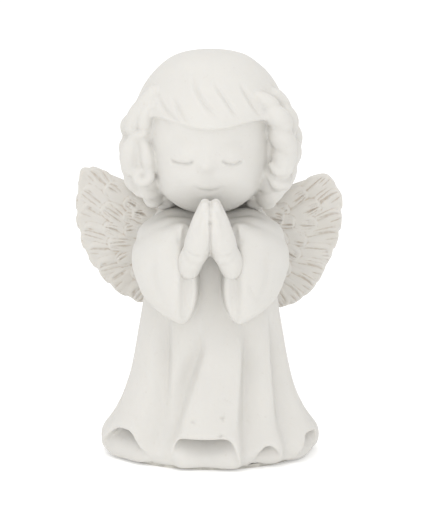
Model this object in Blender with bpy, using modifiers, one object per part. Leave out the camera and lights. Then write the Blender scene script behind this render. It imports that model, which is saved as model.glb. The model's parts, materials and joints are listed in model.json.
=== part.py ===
"""Praying angel figurine cast in resin: five castings held together by pins and glue, on a felt pad.

Every size here is in millimetres, and MM turns it into Blender's metres. +Z is up, the figure faces -Y, and
"left" and "right" are those of someone facing the figure. Angles go round the figure in degrees from its
front, positive towards +X.
"""

import math

import bmesh
import bpy
from mathutils import Matrix, Vector

MM = 0.001

# Driving sizes.
HEIGHT = 110.0
HEAD_HALF_WIDTH = 22.8
HEAD_HALF_DEPTH = 22.0
HEM_HALF_WIDTH = 30.2
HEM_HALF_DEPTH = 24.0
GAP = 0.3
AXIS_Y = 1.48  # the body's upright axis stands this far back, so that the whole box is centred

# Head, hair and neck.
HEAD_CENTRE = Vector((0.0, -1.5, HEIGHT - 24.0))
SKULL_HEIGHT = HEIGHT - HEAD_CENTRE.z
FACE_CENTRE = Vector((0.0, -4.0, 84.6))
FACE_HALVES = Vector((17.2, 17.4, 16.6))
FRINGE_MIDDLE_Z, FRINGE_END_Z = 91.6, 94.2
WINDOW_BACK_Y, NAPE_Z = -12.4, 74.7
NECK_RADIUS = 6.0
COLLAR_Z = 67.6
GLUE_THICKNESS = 0.6
NECK_FACE_Z = COLLAR_Z + GLUE_THICKNESS + 2 * GAP
DOWEL_RADIUS, DOWEL_LENGTH = 1.5, 15.0

# Foot and felt.
FOOT_HALF_WIDTH, FOOT_HALF_DEPTH, FOOT_Z = 26.8, 20.4, 0.3
LIP_THICKNESS = 1.4
FELT_INSET, FELT_THICKNESS = 3.4, 1.0

# Wings: a fan of feathers in three tiers, measured from the fan's centre.
FAN_X, FAN_Z = 9.0, 60.0
FAN_TOP_ANGLE, FAN_BOTTOM_ANGLE = 31.0, -74.0
WING_TIERS = ((27.0, 1.3, 11), (20.6, 1.9, 8), (14.4, 2.6, 5))  # reach, half thickness, feathers
WING_SWEEP = 8.0
SEAT_ANGLE, SEAT_WIDTH, SEAT_HEIGHT = 28.0, 7.0, 17.0
SEAT_MIDDLE = Vector((6.6, 10.9, 57.0))
BOSS_DEPTH = 3.6
PIN_RADIUS, PIN_LENGTH, PIN_SPREAD = 0.8, 8.4, 5.2

# The robe from lip to collar: height above the lip as a share, half width and half depth.
ROBE_PROFILE = (
    (0.00, HEM_HALF_WIDTH, HEM_HALF_DEPTH),
    (0.035, HEM_HALF_WIDTH + 0.1, HEM_HALF_DEPTH + 0.1),
    (0.08, 29.2, 22.9),
    (0.13, 27.0, 20.9),
    (0.19, 24.9, 19.1),
    (0.27, 22.8, 17.3),
    (0.37, 20.8, 15.8),
    (0.50, 19.0, 14.6),
    (0.64, 17.5, 13.6),
    (0.80, 16.4, 13.0),
    (0.89, 15.2, 12.2),
    (0.95, 12.6, 10.6),
    (0.985, 9.4, 8.6),
    (1.00, 7.2, 7.2),
)
# Pleats round the hem: angle, how far the lip stands out from the profile, and how high it lifts.
PLEATS = (
    (-180, -0.8, 1.0),
    (-164, 1.2, 4.6),
    (-146, -1.2, 1.0),
    (-130, 1.2, 4.4),
    (-112, -0.8, 1.0),
    (-88, 0.6, 2.2),
    (-60, 1.2, 6.8),
    (-36, -1.8, 0.9),
    (-28, -0.6, 0.9),
    (-20, -1.8, 1.0),
    (-13, 1.0, 5.6),
    (-2, 2.2, 5.8),
    (10, 1.4, 5.8),
    (18, -1.8, 1.0),
    (26, -0.8, 1.0),
    (34, 0.6, 4.4),
    (45, -1.2, 0.9),
    (54, -0.6, 0.9),
    (70, 1.4, 6.8),
    (88, 0.6, 3.2),
    (110, -0.8, 1.0),
    (128, 1.2, 4.8),
    (146, -1.2, 1.0),
    (164, 1.0, 4.2),
    (180, -0.8, 1.0),
)
# A bell sleeve on the +X side, as rings of (x, y) at falling heights: inner lip, opening, front ridge, front,
# elbow side, back of the arm, shoulder blade and the side inside the body.
SLEEVE_RINGS = (
    (66, (8, -6), (9, -7), (10, -8), (12, -7.5), (14, -5), (14, -1), (11, 2), (8, -1)),
    (63.6, (5.5, -12), (7.2, -13), (8.2, -16.8), (12.8, -14.5), (17.4, -7), (17, 1), (12, 6), (5, 0)),
    (59.5, (4.2, -13.6), (6.6, -14.4), (8.7, -20.6), (14.8, -18), (20.4, -9), (19.4, 1), (13.6, 7), (4, 0)),
    (55, (2.8, -14.4), (6, -14.6), (9.1, -22.2), (15.3, -19.6), (21.4, -10), (19.8, 0), (14, 5), (4, 0)),
    (50, (2.6, -15.2), (5.8, -15.4), (9.1, -22.6), (14.8, -20), (20.2, -11), (18.2, -2), (13, 3), (4, -2)),
    (45, (3.6, -16), (5.8, -16.2), (9, -22.4), (13, -20.2), (17, -13), (15, -6), (10, -3), (4, -6)),
    (41, (4.8, -16.8), (6, -17), (8.4, -21.6), (10.4, -20), (12, -16.6), (10.4, -13), (8, -11), (5, -13)),
    (39, (6, -17.6), (6.6, -17.6), (7.2, -19.2), (7.8, -19), (8, -18), (7.6, -17), (7, -16.4), (6.2, -16.8)),
)
# Half of the praying hands: middle of the section, half width and half depth, from forearm to fingertips.
HAND_SECTIONS = (
    ((7.9, -18.2, 47.6), 1.9, 2.2),
    ((7.0, -19.4, 50.6), 2.2, 2.7),
    ((5.4, -21.4, 54.6), 2.9, 3.3),
    ((4.1, -22.6, 58.2), 3.1, 3.6),
    ((3.2, -23.4, 62.0), 3.3, 3.9),
    ((2.6, -23.5, 66.0), 3.0, 3.7),
    ((1.9, -23.2, 70.2), 2.4, 3.1),
    ((1.2, -22.9, 73.1), 1.7, 2.2),
    ((0.9, -22.8, 74.3), 0.8, 1.2),
)
# Ringlets hanging round the head: angle round it, and height of the top and bottom.
RINGLETS = (
    (-67, 98.0, 73.2),
    (-94, 97.2, 70.1),
    (-121, 97.5, 71.3),
    (-149, 97.1, 73.1),
    (67, 98.3, 72.4),
    (94, 97.4, 70.2),
    (121, 97.0, 71.1),
    (148, 97.3, 73.3),
    (179, 97.6, 73.2),
)
RINGLET_RADIUS, RINGLET_SINK, RINGLET_COILS = 5.0, 2.6, 3


def clear_scene():
    for old in list(bpy.data.objects):
        bpy.data.objects.remove(old)


def eased(value, knots, column):
    """A column of a table of knots at this value, easing from each knot to the next."""
    for before, after in zip(knots, knots[1:]):
        if value <= after[0]:
            share = max(0.0, (value - before[0]) / (after[0] - before[0]))
            share = share * share * (3 - 2 * share)
            return before[column] + (after[column] - before[column]) * share
    return knots[-1][column]


def make_material(name, colour, roughness, metallic=0.0):
    material = bpy.data.materials.new(name)
    material.use_nodes = True
    shader = material.node_tree.nodes["Principled BSDF"]
    shader.inputs["Base Color"].default_value = (*colour, 1.0)
    shader.inputs["Roughness"].default_value = roughness
    shader.inputs["Metallic"].default_value = metallic
    return material


class Workshop:
    """The scene's collections, its materials and the empty that every piece hangs from."""

    def __init__(self):
        self.pieces = bpy.data.collections.new("angel_figurine")
        self.helpers = bpy.data.collections.new("cutters_and_blanks")
        for collection in (self.pieces, self.helpers):
            bpy.context.scene.collection.children.link(collection)
        self.figure = bpy.data.objects.new("figure_axis", None)
        self.figure.location = Vector((0, AXIS_Y, 0)) * MM
        self.pieces.objects.link(self.figure)
        self.resin = make_material("cast_resin", (0.84, 0.82, 0.78), 0.62)
        self.wing_resin = make_material("wing_resin", (0.80, 0.77, 0.71), 0.66)
        self.steel = make_material("steel", (0.55, 0.55, 0.56), 0.35, 1.0)
        self.glue = make_material("glue", (0.62, 0.52, 0.36), 0.4)
        self.felt = make_material("felt", (0.72, 0.70, 0.66), 0.95)

    def add(self, name, mesh, material):
        """A piece of the figurine."""
        piece = bpy.data.objects.new(name, mesh)
        piece.parent = self.figure
        mesh.materials.append(material)
        mesh.shade_smooth()
        mesh.set_sharp_from_angle(angle=math.radians(40))
        self.pieces.objects.link(piece)
        return piece

    def add_helper(self, name, mesh, collection=None):
        """A cutter, or a blank that is joined to a piece."""
        helper = bpy.data.objects.new(name, mesh)
        helper.parent = self.figure
        helper.hide_render = True
        helper.display_type = "WIRE"
        (collection or self.helpers).objects.link(helper)
        return helper


def mesh_from(bm, name, matrix=None):
    if matrix is not None:
        bm.transform(matrix)
    bm.normal_update()
    bmesh.ops.recalc_face_normals(bm, faces=bm.faces)
    bm.transform(Matrix.Scale(MM, 4))
    mesh = bpy.data.meshes.new(name)
    bm.to_mesh(mesh)
    bm.free()
    return mesh


def loft(name, rings, mirror=1):
    """A closed skin through rings of equal length, with its first and last ring filled."""
    bm = bmesh.new()
    rows = [[bm.verts.new((x * mirror, y, z)) for x, y, z in ring] for ring in rings]
    count = len(rows[0])
    for lower, upper in zip(rows, rows[1:]):
        for i in range(count):
            j = (i + 1) % count
            bm.faces.new((lower[i], lower[j], upper[j], upper[i]))
    bm.faces.new(rows[0])
    bm.faces.new(rows[-1])
    return mesh_from(bm, name)


def cylinder(name, radius, length, matrix, segments=24, squeeze=1.0):
    """A cylinder along its local Z, centred on the matrix. squeeze flattens it in local Y."""
    bm = bmesh.new()
    bmesh.ops.create_cone(
        bm, cap_ends=True, segments=segments, radius1=radius, radius2=radius, depth=length
    )
    bmesh.ops.scale(bm, vec=(1, squeeze, 1), verts=bm.verts)
    return mesh_from(bm, name, matrix)


def box(name, size, matrix):
    bm = bmesh.new()
    bmesh.ops.create_cube(bm, size=1.0)
    bmesh.ops.scale(bm, vec=size, verts=bm.verts)
    return mesh_from(bm, name, matrix)


def combine(piece, other, operation):
    modifier = piece.modifiers.new(f"{operation.lower()} {other.name}", "BOOLEAN")
    modifier.operation = operation
    modifier.object = other
    modifier.solver = "EXACT"


def subdivide(piece, levels):
    modifier = piece.modifiers.new("rounding", "SUBSURF")
    modifier.levels = modifier.render_levels = levels


# ---- robe ----------------------------------------------------------------------------------------------


def robe_rings():
    """Rings from the foot's underside out round the lip and up to the collar."""
    angles = [math.radians(360 * i / 96 - 180) for i in range(96)]
    lips = [
        (eased(math.degrees(a), PLEATS, 1), eased(math.degrees(a), PLEATS, 2)) for a in angles
    ]

    def ring(half_width, half_depth, heights, stand_out=0.0):
        return [
            (
                (half_width + stand_out * out) * math.sin(a),
                -(half_depth + stand_out * out) * math.cos(a),
                z,
            )
            for a, (out, _), z in zip(angles, lips, heights)
        ]

    foot_top = [max(FOOT_Z + 0.4, lift - 0.2) for _, lift in lips]
    rings = [
        ring(FOOT_HALF_WIDTH, FOOT_HALF_DEPTH, [FOOT_Z] * 96, 0.3),
        ring(FOOT_HALF_WIDTH + 0.2, FOOT_HALF_DEPTH + 0.2, foot_top, 0.3),
        ring(
            HEM_HALF_WIDTH - LIP_THICKNESS,
            HEM_HALF_DEPTH - LIP_THICKNESS,
            [height + 0.1 for height in foot_top],
            1.0,
        ),
    ]
    for share, half_width, half_depth in ROBE_PROFILE:
        fade = (1 - share) ** 2.2
        heights = [lift + 0.4 + (COLLAR_Z - lift - 0.4) * share for _, lift in lips]
        rings.append(ring(half_width, half_depth, heights, fade))
    return rings


def add_robe(shop):
    robe = shop.add("robe_casting", loft("robe_casting", robe_rings()), shop.resin)
    for side, mirror in (("left", -1), ("right", 1)):
        rings = [[(x, y, z) for x, y in ring] for z, *ring in SLEEVE_RINGS]
        sleeve = shop.add_helper(f"{side}_sleeve", loft(f"{side}_sleeve", rings, mirror))
        subdivide(sleeve, 2)
        combine(robe, sleeve, "UNION")
    return robe


def cut_robe(shop, robe):
    """The neck and pin bores, the wing seats, the room for the forearms and the felt's recess."""
    cutters = [
        shop.add_helper(
            "neck_bore",
            cylinder("neck_bore", DOWEL_RADIUS + GAP, DOWEL_LENGTH + 2 * GAP, dowel_place()),
        ),
        shop.add_helper("felt_recess", felt_mesh("felt_recess", GAP)),
    ]
    for side, mirror in (("left", -1), ("right", 1)):
        seat = seat_frame(mirror)
        cut_depth = 8.0
        cutters.append(
            shop.add_helper(
                f"{side}_seat_cutter",
                box(
                    f"{side}_seat_cutter",
                    (SEAT_WIDTH + 2 * GAP, cut_depth, SEAT_HEIGHT + 2 * GAP),
                    seat @ Matrix.Translation((0, cut_depth / 2, 0)),
                ),
            )
        )
        cutters += pin_bores(shop, side, mirror, "back")
        cutters.append(hand_room(shop, side, mirror))
    for cutter in cutters:
        combine(robe, cutter, "DIFFERENCE")


def dowel_place():
    return Matrix.Translation((0, 0, COLLAR_Z + GLUE_THICKNESS / 2 + GAP))


def felt_mesh(name, clearance):
    half_width = FOOT_HALF_WIDTH - FELT_INSET + clearance
    half_depth = FOOT_HALF_DEPTH - FELT_INSET + clearance
    length = FELT_THICKNESS + (1.0 if clearance else 0.0)
    middle = (FELT_THICKNESS + clearance) - length / 2 if clearance else FELT_THICKNESS / 2
    return cylinder(
        name, half_width, length, Matrix.Translation((0, 0, middle)), 64, half_depth / half_width
    )


# ---- head ----------------------------------------------------------------------------------------------


def ellipsoid(name, centre, halves, segments=48, rings=28):
    bm = bmesh.new()
    bmesh.ops.create_uvsphere(bm, u_segments=segments, v_segments=rings, radius=1.0)
    bmesh.ops.scale(bm, vec=halves, verts=bm.verts)
    return mesh_from(bm, name, Matrix.Translation(centre))


def face_window(name):
    """A cutter from the front that opens the hair over the face, with the fringe along its top edge."""
    edge = [(-FACE_HALVES.x, 60.0), (-FACE_HALVES.x, 86.0)]
    steps = 12
    for i in range(steps + 1):
        share = 2 * i / steps - 1
        fringe = FRINGE_MIDDLE_Z + (FRINGE_END_Z - FRINGE_MIDDLE_Z) * share * share
        edge.append((share * (FACE_HALVES.x - 1.2), fringe))
    edge += [(FACE_HALVES.x, 86.0), (FACE_HALVES.x, 60.0)]
    return loft(name, [[(x, y, z) for x, z in edge] for y in (-40.0, WINDOW_BACK_Y)])


def skull_reach(turn, z):
    """How far the hair cap stands out from the head's axis in this direction at this height."""
    across = math.hypot(math.sin(turn) / HEAD_HALF_WIDTH, math.cos(turn) / HEAD_HALF_DEPTH)
    return math.sqrt(1 - ((z - HEAD_CENTRE.z) / SKULL_HEIGHT) ** 2) / across


def ringlet(name, angle, top, bottom):
    """A curl that hangs round the head: a twisted tube that swells and narrows as it falls."""
    segments, steps = 12, 14
    turn = math.radians(angle)
    rings = []
    for i in range(steps + 1):
        share = i / steps
        ends = (1 - (2 * min(0.97, max(0.03, share)) - 1) ** 6) ** 0.5
        swell = 1.0 + 0.09 * math.cos(2 * math.pi * RINGLET_COILS * share)
        radius = RINGLET_RADIUS * (1 - 0.2 * share) * ends * swell
        z = top + (bottom - top) * share
        reach = skull_reach(turn, z) - RINGLET_SINK
        ring = []
        for j in range(segments):
            around = 2 * math.pi * j / segments
            flat = 1.0 + 0.1 * math.cos(2 * (around - math.pi * RINGLET_COILS * share))
            outward = reach + radius * flat * math.cos(around)
            sideways = radius * flat * math.sin(around)
            x = outward * math.sin(turn) + sideways * math.cos(turn)
            y = -outward * math.cos(turn) + sideways * math.sin(turn) + HEAD_CENTRE.y
            ring.append((x, y, z))
        rings.append(ring)
    return loft(name, rings)


def add_head(shop):
    """The hair cap with the face let into its opening, the ringlets round it and the neck below."""
    halves = Vector((HEAD_HALF_WIDTH, HEAD_HALF_DEPTH, SKULL_HEIGHT))
    head = shop.add("head_casting", ellipsoid("head_casting", HEAD_CENTRE, halves), shop.resin)
    nape = box("nape_cutter", (60, 60, 30), Matrix.Translation((0, 0, NAPE_Z - 15)))
    neck_top = HEAD_CENTRE.z - 8
    neck_place = Matrix.Translation((0, 0, (neck_top + NECK_FACE_Z) / 2))
    combine(head, shop.add_helper("nape_cutter", nape), "DIFFERENCE")
    combine(head, shop.add_helper("face_window", face_window("face_window")), "DIFFERENCE")
    blanks = bpy.data.collections.new("head_blanks")
    shop.helpers.children.link(blanks)
    shop.add_helper("face", ellipsoid("face", FACE_CENTRE, FACE_HALVES, 36, 22), blanks)
    neck = cylinder("neck", NECK_RADIUS, neck_top - NECK_FACE_Z, neck_place, 32)
    shop.add_helper("neck", neck, blanks)
    for i, place in enumerate(RINGLETS):
        shop.add_helper(f"ringlet_{i}", ringlet(f"ringlet_{i}", *place), blanks)
    joined = head.modifiers.new("union head_blanks", "BOOLEAN")
    joined.operation = "UNION"
    joined.solver = "EXACT"
    joined.operand_type = "COLLECTION"
    joined.collection = blanks
    below = box("neck_face_cutter", (19, 19, 6), Matrix.Translation((0, 0, NECK_FACE_Z - 3)))
    head.modifiers.new("flat faces", "TRIANGULATE")
    combine(head, shop.add_helper("neck_face_cutter", below), "DIFFERENCE")
    combine(head, bpy.data.objects["neck_bore"], "DIFFERENCE")


def add_neck_joint(shop):
    shop.add(
        "neck_dowel", cylinder("neck_dowel", DOWEL_RADIUS, DOWEL_LENGTH, dowel_place()), shop.steel
    )
    ring = shop.add(
        "neck_glue_ring",
        cylinder("neck_glue_ring", NECK_RADIUS - GAP, GLUE_THICKNESS, dowel_place(), 32),
        shop.glue,
    )
    combine(ring, bpy.data.objects["neck_bore"], "DIFFERENCE")


# ---- hands ---------------------------------------------------------------------------------------------


def hand_rings(grow=0.0, segments=16):
    """Rings from the forearm's end inside the sleeve to the fingertips."""
    rings = []
    for (x, y, z), half_width, half_depth in HAND_SECTIONS:
        ring = []
        for i in range(segments):
            a = 2 * math.pi * i / segments
            ring.append(
                (x + (half_width + grow) * math.cos(a), y + (half_depth + grow) * math.sin(a), z)
            )
        rings.append(ring)
    return rings


def add_hands(shop):
    """Two hands pressed together, one the mirror image of the other, in one casting."""
    hands = shop.add("hands_casting", loft("hands_casting", hand_rings()), shop.resin)
    other = shop.add_helper("left_hand", loft("left_hand", hand_rings(), -1))
    combine(hands, other, "UNION")


def hand_room(shop, side, mirror):
    """A cutter that keeps the sleeve clear of the forearm in it."""
    rings = hand_rings(GAP + 0.05)
    low = [(x, y, z - GAP - 0.4) for x, y, z in rings[0]]
    name = f"{side}_forearm_room"
    return shop.add_helper(name, loft(name, [low, *rings], mirror))


# ---- wings ---------------------------------------------------------------------------------------------


def seat_frame(mirror):
    """Local axes of a wing's seat on the back: X along it, Y out of the back, Z up."""
    out = math.radians(SEAT_ANGLE)
    x_axis = Vector((math.cos(out) * mirror, -math.sin(out), 0))
    y_axis = Vector((math.sin(out) * mirror, math.cos(out), 0))
    place = Matrix((x_axis, y_axis, Vector((0, 0, 1)))).transposed().to_4x4()
    place.translation = Vector((SEAT_MIDDLE.x * mirror, SEAT_MIDDLE.y, SEAT_MIDDLE.z))
    return place


def wing_frame(mirror):
    """Local axes of a wing's fan: X outwards along the wing, Y through it, Z up."""
    sweep = math.radians(WING_SWEEP)
    x_axis = Vector((math.cos(sweep) * mirror, math.sin(sweep), 0))
    y_axis = Vector((-math.sin(sweep) * mirror, math.cos(sweep), 0))
    place = Matrix((x_axis, y_axis, Vector((0, 0, 1)))).transposed().to_4x4()
    place.translation = Vector((FAN_X * mirror, 15.4, FAN_Z))
    return place


def tier_outline(reach, feathers):
    """The fan's edge in its own plane: rounded feather tips from the top down, then the root."""
    points = []
    per_feather = 6
    span = FAN_TOP_ANGLE - FAN_BOTTOM_ANGLE
    for i in range(feathers * per_feather + 1):
        share = i / (feathers * per_feather)
        angle = math.radians(FAN_TOP_ANGLE - span * share)
        tip = abs(math.sin(math.pi * i / per_feather))
        length = reach * (1.07 - 0.15 * share) - 0.9 * (1 - tip)
        points.append((length * math.cos(angle), length * math.sin(angle)))
    points += [(0.0, -13.5), (-3.8, -9.5), (-4.2, 0.0), (-2.5, 5.0)]
    return points


def tier_plate(name, reach, half_thickness, feathers, mirror):
    outline = tier_outline(reach, feathers)
    bm = bmesh.new()
    face = bm.faces.new([bm.verts.new((x, -half_thickness, z)) for x, z in outline])
    made = bmesh.ops.extrude_face_region(bm, geom=[face])
    moved = [v for v in made["geom"] if isinstance(v, bmesh.types.BMVert)]
    bmesh.ops.translate(bm, vec=(0, 2 * half_thickness, 0), verts=moved)
    return mesh_from(bm, name, wing_frame(mirror))


def pin_place(mirror, sign):
    lift = Matrix.Translation((0, GAP + GLUE_THICKNESS / 2, sign * PIN_SPREAD))
    return seat_frame(mirror) @ lift @ Matrix.Rotation(math.radians(90), 4, "X")


def pin_bores(shop, side, mirror, part):
    bores = []
    for end, sign in (("upper", 1), ("lower", -1)):
        name = f"{side}_{end}_{part}_bore"
        bores.append(
            shop.add_helper(
                name, cylinder(name, PIN_RADIUS + GAP, PIN_LENGTH + 2 * GAP, pin_place(mirror, sign), 16)
            )
        )
    return bores


def add_wing(shop, side, mirror):
    outer, *inner = WING_TIERS
    name = f"{side}_wing_casting"
    wing = shop.add(name, tier_plate(name, *outer, mirror), shop.wing_resin)
    for i, tier in enumerate(inner):
        blank = f"{side}_tier_{i}"
        combine(wing, shop.add_helper(blank, tier_plate(blank, *tier, mirror)), "UNION")
    face = GLUE_THICKNESS + 2 * GAP
    boss = shop.add_helper(
        f"{side}_boss",
        box(
            f"{side}_boss",
            (SEAT_WIDTH, BOSS_DEPTH, SEAT_HEIGHT),
            seat_frame(mirror) @ Matrix.Translation((0, face + BOSS_DEPTH / 2, 0)),
        ),
    )
    combine(wing, boss, "UNION")
    clearance = shop.add_helper(
        f"{side}_root_cutter",
        box(
            f"{side}_root_cutter",
            (60, 20, 70),
            seat_frame(mirror) @ Matrix.Translation((-20 + SEAT_WIDTH / 2, face - 10, 0)),
        ),
    )
    combine(wing, clearance, "DIFFERENCE")
    for bore in pin_bores(shop, side, mirror, "wing"):
        combine(wing, bore, "DIFFERENCE")


def add_wing_joint(shop, side, mirror):
    middle = GAP + GLUE_THICKNESS / 2
    bed = shop.add(
        f"{side}_wing_glue_bed",
        box(
            f"{side}_wing_glue_bed",
            (SEAT_WIDTH - 2 * GAP, GLUE_THICKNESS, SEAT_HEIGHT - 2 * GAP),
            seat_frame(mirror) @ Matrix.Translation((0, middle, 0)),
        ),
        shop.glue,
    )
    for bore in pin_bores(shop, side, mirror, "glue"):
        combine(bed, bore, "DIFFERENCE")
    for end, sign in (("upper", 1), ("lower", -1)):
        name = f"{side}_wing_{end}_pin"
        shop.add(name, cylinder(name, PIN_RADIUS, PIN_LENGTH, pin_place(mirror, sign), 16), shop.steel)


def main():
    clear_scene()
    shop = Workshop()
    robe = add_robe(shop)
    cut_robe(shop, robe)
    add_hands(shop)
    add_head(shop)
    add_neck_joint(shop)
    for side, mirror in (("left", -1), ("right", 1)):
        add_wing(shop, side, mirror)
        add_wing_joint(shop, side, mirror)
    shop.add("base_felt_pad", felt_mesh("base_felt_pad", 0.0), shop.felt)


main()
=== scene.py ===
"""Praying angel figurine in cast resin: the finished surfaces of its castings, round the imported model.

Sizes inside the shape functions are millimetres about the figure's own upright axis. +Z is up and the figure
faces -Y. Clay.lay_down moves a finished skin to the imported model's frame and turns it into metres.
"""

import json
import math

import bpy
import numpy as np
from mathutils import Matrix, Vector

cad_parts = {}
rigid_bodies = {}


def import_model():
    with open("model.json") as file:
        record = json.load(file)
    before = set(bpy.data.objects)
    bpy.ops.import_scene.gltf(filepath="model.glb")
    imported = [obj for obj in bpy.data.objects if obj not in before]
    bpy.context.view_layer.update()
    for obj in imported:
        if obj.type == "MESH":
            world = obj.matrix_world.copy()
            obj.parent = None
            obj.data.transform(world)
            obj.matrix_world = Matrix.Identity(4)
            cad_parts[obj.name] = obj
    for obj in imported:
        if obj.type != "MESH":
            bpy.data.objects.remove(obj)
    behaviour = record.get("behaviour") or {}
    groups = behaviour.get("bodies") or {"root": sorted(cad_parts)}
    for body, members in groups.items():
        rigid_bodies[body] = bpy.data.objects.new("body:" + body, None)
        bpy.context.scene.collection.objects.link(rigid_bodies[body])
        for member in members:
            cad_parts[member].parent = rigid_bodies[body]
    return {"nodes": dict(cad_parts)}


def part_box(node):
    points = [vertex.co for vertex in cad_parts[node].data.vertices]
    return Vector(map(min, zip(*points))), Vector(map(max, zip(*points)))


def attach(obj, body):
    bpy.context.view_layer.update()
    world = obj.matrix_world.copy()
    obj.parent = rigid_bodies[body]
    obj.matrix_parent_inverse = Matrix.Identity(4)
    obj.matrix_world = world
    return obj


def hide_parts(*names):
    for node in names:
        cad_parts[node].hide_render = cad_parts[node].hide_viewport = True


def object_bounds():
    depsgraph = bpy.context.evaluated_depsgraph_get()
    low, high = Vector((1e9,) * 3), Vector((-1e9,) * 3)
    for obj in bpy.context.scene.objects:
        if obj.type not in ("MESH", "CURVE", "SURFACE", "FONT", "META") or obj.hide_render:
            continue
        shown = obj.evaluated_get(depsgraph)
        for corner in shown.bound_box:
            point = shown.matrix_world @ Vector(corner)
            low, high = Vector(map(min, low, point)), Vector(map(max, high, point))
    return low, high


bl_info = {
    "name": "Praying Angel Figurine",
    "version": (1, 0, 0),
    "blender": (4, 5, 0),
    "location": "3D View > Sidebar > Figurine",
    "description": "Models a cast resin angel with ringlets, a pleated robe and carved feather wings",
    "category": "Object",
}

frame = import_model()
CAD_LOW, CAD_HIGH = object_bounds()
DOWEL_LOW, DOWEL_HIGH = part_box("neck_dowel")
AXIS = (DOWEL_LOW + DOWEL_HIGH) / 2
MM = 0.001
SIDES = (("left", -1), ("right", 1))


# ---- numbers -------------------------------------------------------------------------------------------


def eased(values, knots, heights):
    """A smooth curve through knots, read at these values. It never overshoots a knot."""
    knots, heights = np.asarray(knots, float), np.asarray(heights, float)
    flat = np.diff(heights) / np.diff(knots)
    slopes = np.gradient(heights, knots) if len(knots) > 2 else np.full(2, flat[0])
    slopes[1:-1][flat[:-1] * flat[1:] <= 0] = 0
    values = np.clip(values, knots[0], knots[-1])
    i = np.clip(np.searchsorted(knots, values, side="right") - 1, 0, len(knots) - 2)
    width = knots[i + 1] - knots[i]
    t = (values - knots[i]) / width
    rise = heights[i] * (1 + 2 * t) * (1 - t) ** 2 + heights[i + 1] * t * t * (3 - 2 * t)
    return rise + width * (slopes[i] * t * (1 - t) ** 2 + slopes[i + 1] * t * t * (t - 1))


def fade(values, start, end):
    """0 before start and 1 after end, with an S curve between them."""
    t = np.clip((np.asarray(values, float) - start) / (end - start), 0, 1)
    return t * t * (3 - 2 * t)


def bell(values, width):
    return np.exp(-((np.asarray(values, float) / width) ** 2))


def ripple(points, size, seed):
    """A smooth uneven field of about unit height, with bumps about this far across."""
    waves = 20
    rng = np.random.default_rng(seed)
    ways = rng.normal(size=(waves, 3))
    ways /= np.linalg.norm(ways, axis=1)[:, None]
    ways *= (2 * math.pi / (size * rng.uniform(1.3, 2.8, waves)))[:, None]
    phases = rng.uniform(0, 2 * math.pi, waves)
    return np.sin(points @ ways.T + phases).sum(1) * math.sqrt(2 / waves)


# ---- forms: closed skins of points and quads -----------------------------------------------------------


def box_mm(node):
    """The corners of a CAD node's box, in millimetres from the figure's axis."""
    return [np.array(corner) / MM - (AXIS.x / MM, AXIS.y / MM, 0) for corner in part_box(node)]


def full_turn(count):
    return np.linspace(0, 2 * math.pi, count, endpoint=False)


def skin(rings):
    """A closed skin through rings of equal length, each end drawn in to a point."""
    rings = np.asarray(rings, float)
    rows, around = rings.shape[:2]
    points = np.concatenate([rings.reshape(-1, 3), rings[0].mean(0)[None], rings[-1].mean(0)[None]])
    here = np.arange(around)
    after = (here + 1) % around
    base = np.arange(rows - 1)[:, None] * around
    low, turned = base + here, base + after
    walls = np.stack([low, turned, turned + around, low + around], -1).reshape(-1, 4)
    top = (rows - 1) * around
    foot = np.stack([after, here, np.full(around, rows * around)], -1)
    head = np.stack([top + here, top + after, np.full(around, rows * around + 1)], -1)
    caps = np.concatenate([foot, head])
    return points, np.concatenate([walls, np.column_stack([caps, caps[:, 2]])])


def ball(centre, halves, rows, around):
    """An ellipsoid."""
    rise = np.linspace(-math.pi / 2, math.pi / 2, rows + 2)[1:-1, None]
    turn = full_turn(around)[None]
    rings = np.stack([np.cos(rise) * np.cos(turn), np.cos(rise) * np.sin(turn), np.sin(rise) + 0 * turn], -1)
    return skin(rings * np.asarray(halves, float) + np.asarray(centre, float))


def strung(stations, step):
    """The stations of a path made evenly close, with the distance along it."""
    stations = np.asarray(stations, float)
    along = np.concatenate([[0], np.cumsum(np.linalg.norm(np.diff(stations[:, :3], axis=0), axis=1))])
    marks = np.linspace(0, along[-1], max(6, int(along[-1] / step)))
    return np.stack([eased(marks, along, column) for column in stations.T], -1), marks


def rope(stations, flat=1.0, coil=0.0, groove=0.0, start=0.0, facing=(0, -1, 0), around=32):
    """A tube with round ends through stations of (x, y, z, radius). flat squeezes it along facing. With a coil
    pitch, a groove winds round it, as on a carved ringlet."""
    path, marks = strung(stations, 0.4)
    ways = np.gradient(path[:, :3], axis=0)
    ways /= np.linalg.norm(ways, axis=1)[:, None]
    facing = np.asarray(facing, float)
    front = facing - ways * (ways @ facing)[:, None]
    front /= np.linalg.norm(front, axis=1)[:, None]
    side = np.cross(ways, front)
    lean = np.radians(np.arange(84, 0, -12))
    last = len(marks) - 1
    index = np.concatenate([np.zeros(len(lean), int), np.arange(last + 1), np.full(len(lean), last)])
    offset = np.concatenate(
        [-np.sin(lean) * path[0, 3], np.zeros(last + 1), np.sin(lean[::-1]) * path[-1, 3]]
    )
    share = np.concatenate([np.cos(lean), np.ones(last + 1), np.cos(lean[::-1])])
    centres = path[index, :3] + ways[index] * offset[:, None]
    turn = full_turn(around)[None]
    radius = (path[index, 3] * share)[:, None] + 0 * turn
    if coil:
        phase = (turn / (2 * math.pi) + (marks[index] + offset)[:, None] / coil + start) % 1
        radius = radius * (1 + groove * (1.6 * np.sin(math.pi * phase) ** 0.6 - 1))
    rings = (
        centres[:, None]
        + side[index][:, None] * (radius * np.cos(turn))[..., None]
        + front[index][:, None] * (radius * np.sin(turn) * flat)[..., None]
    )
    return skin(rings)


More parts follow.
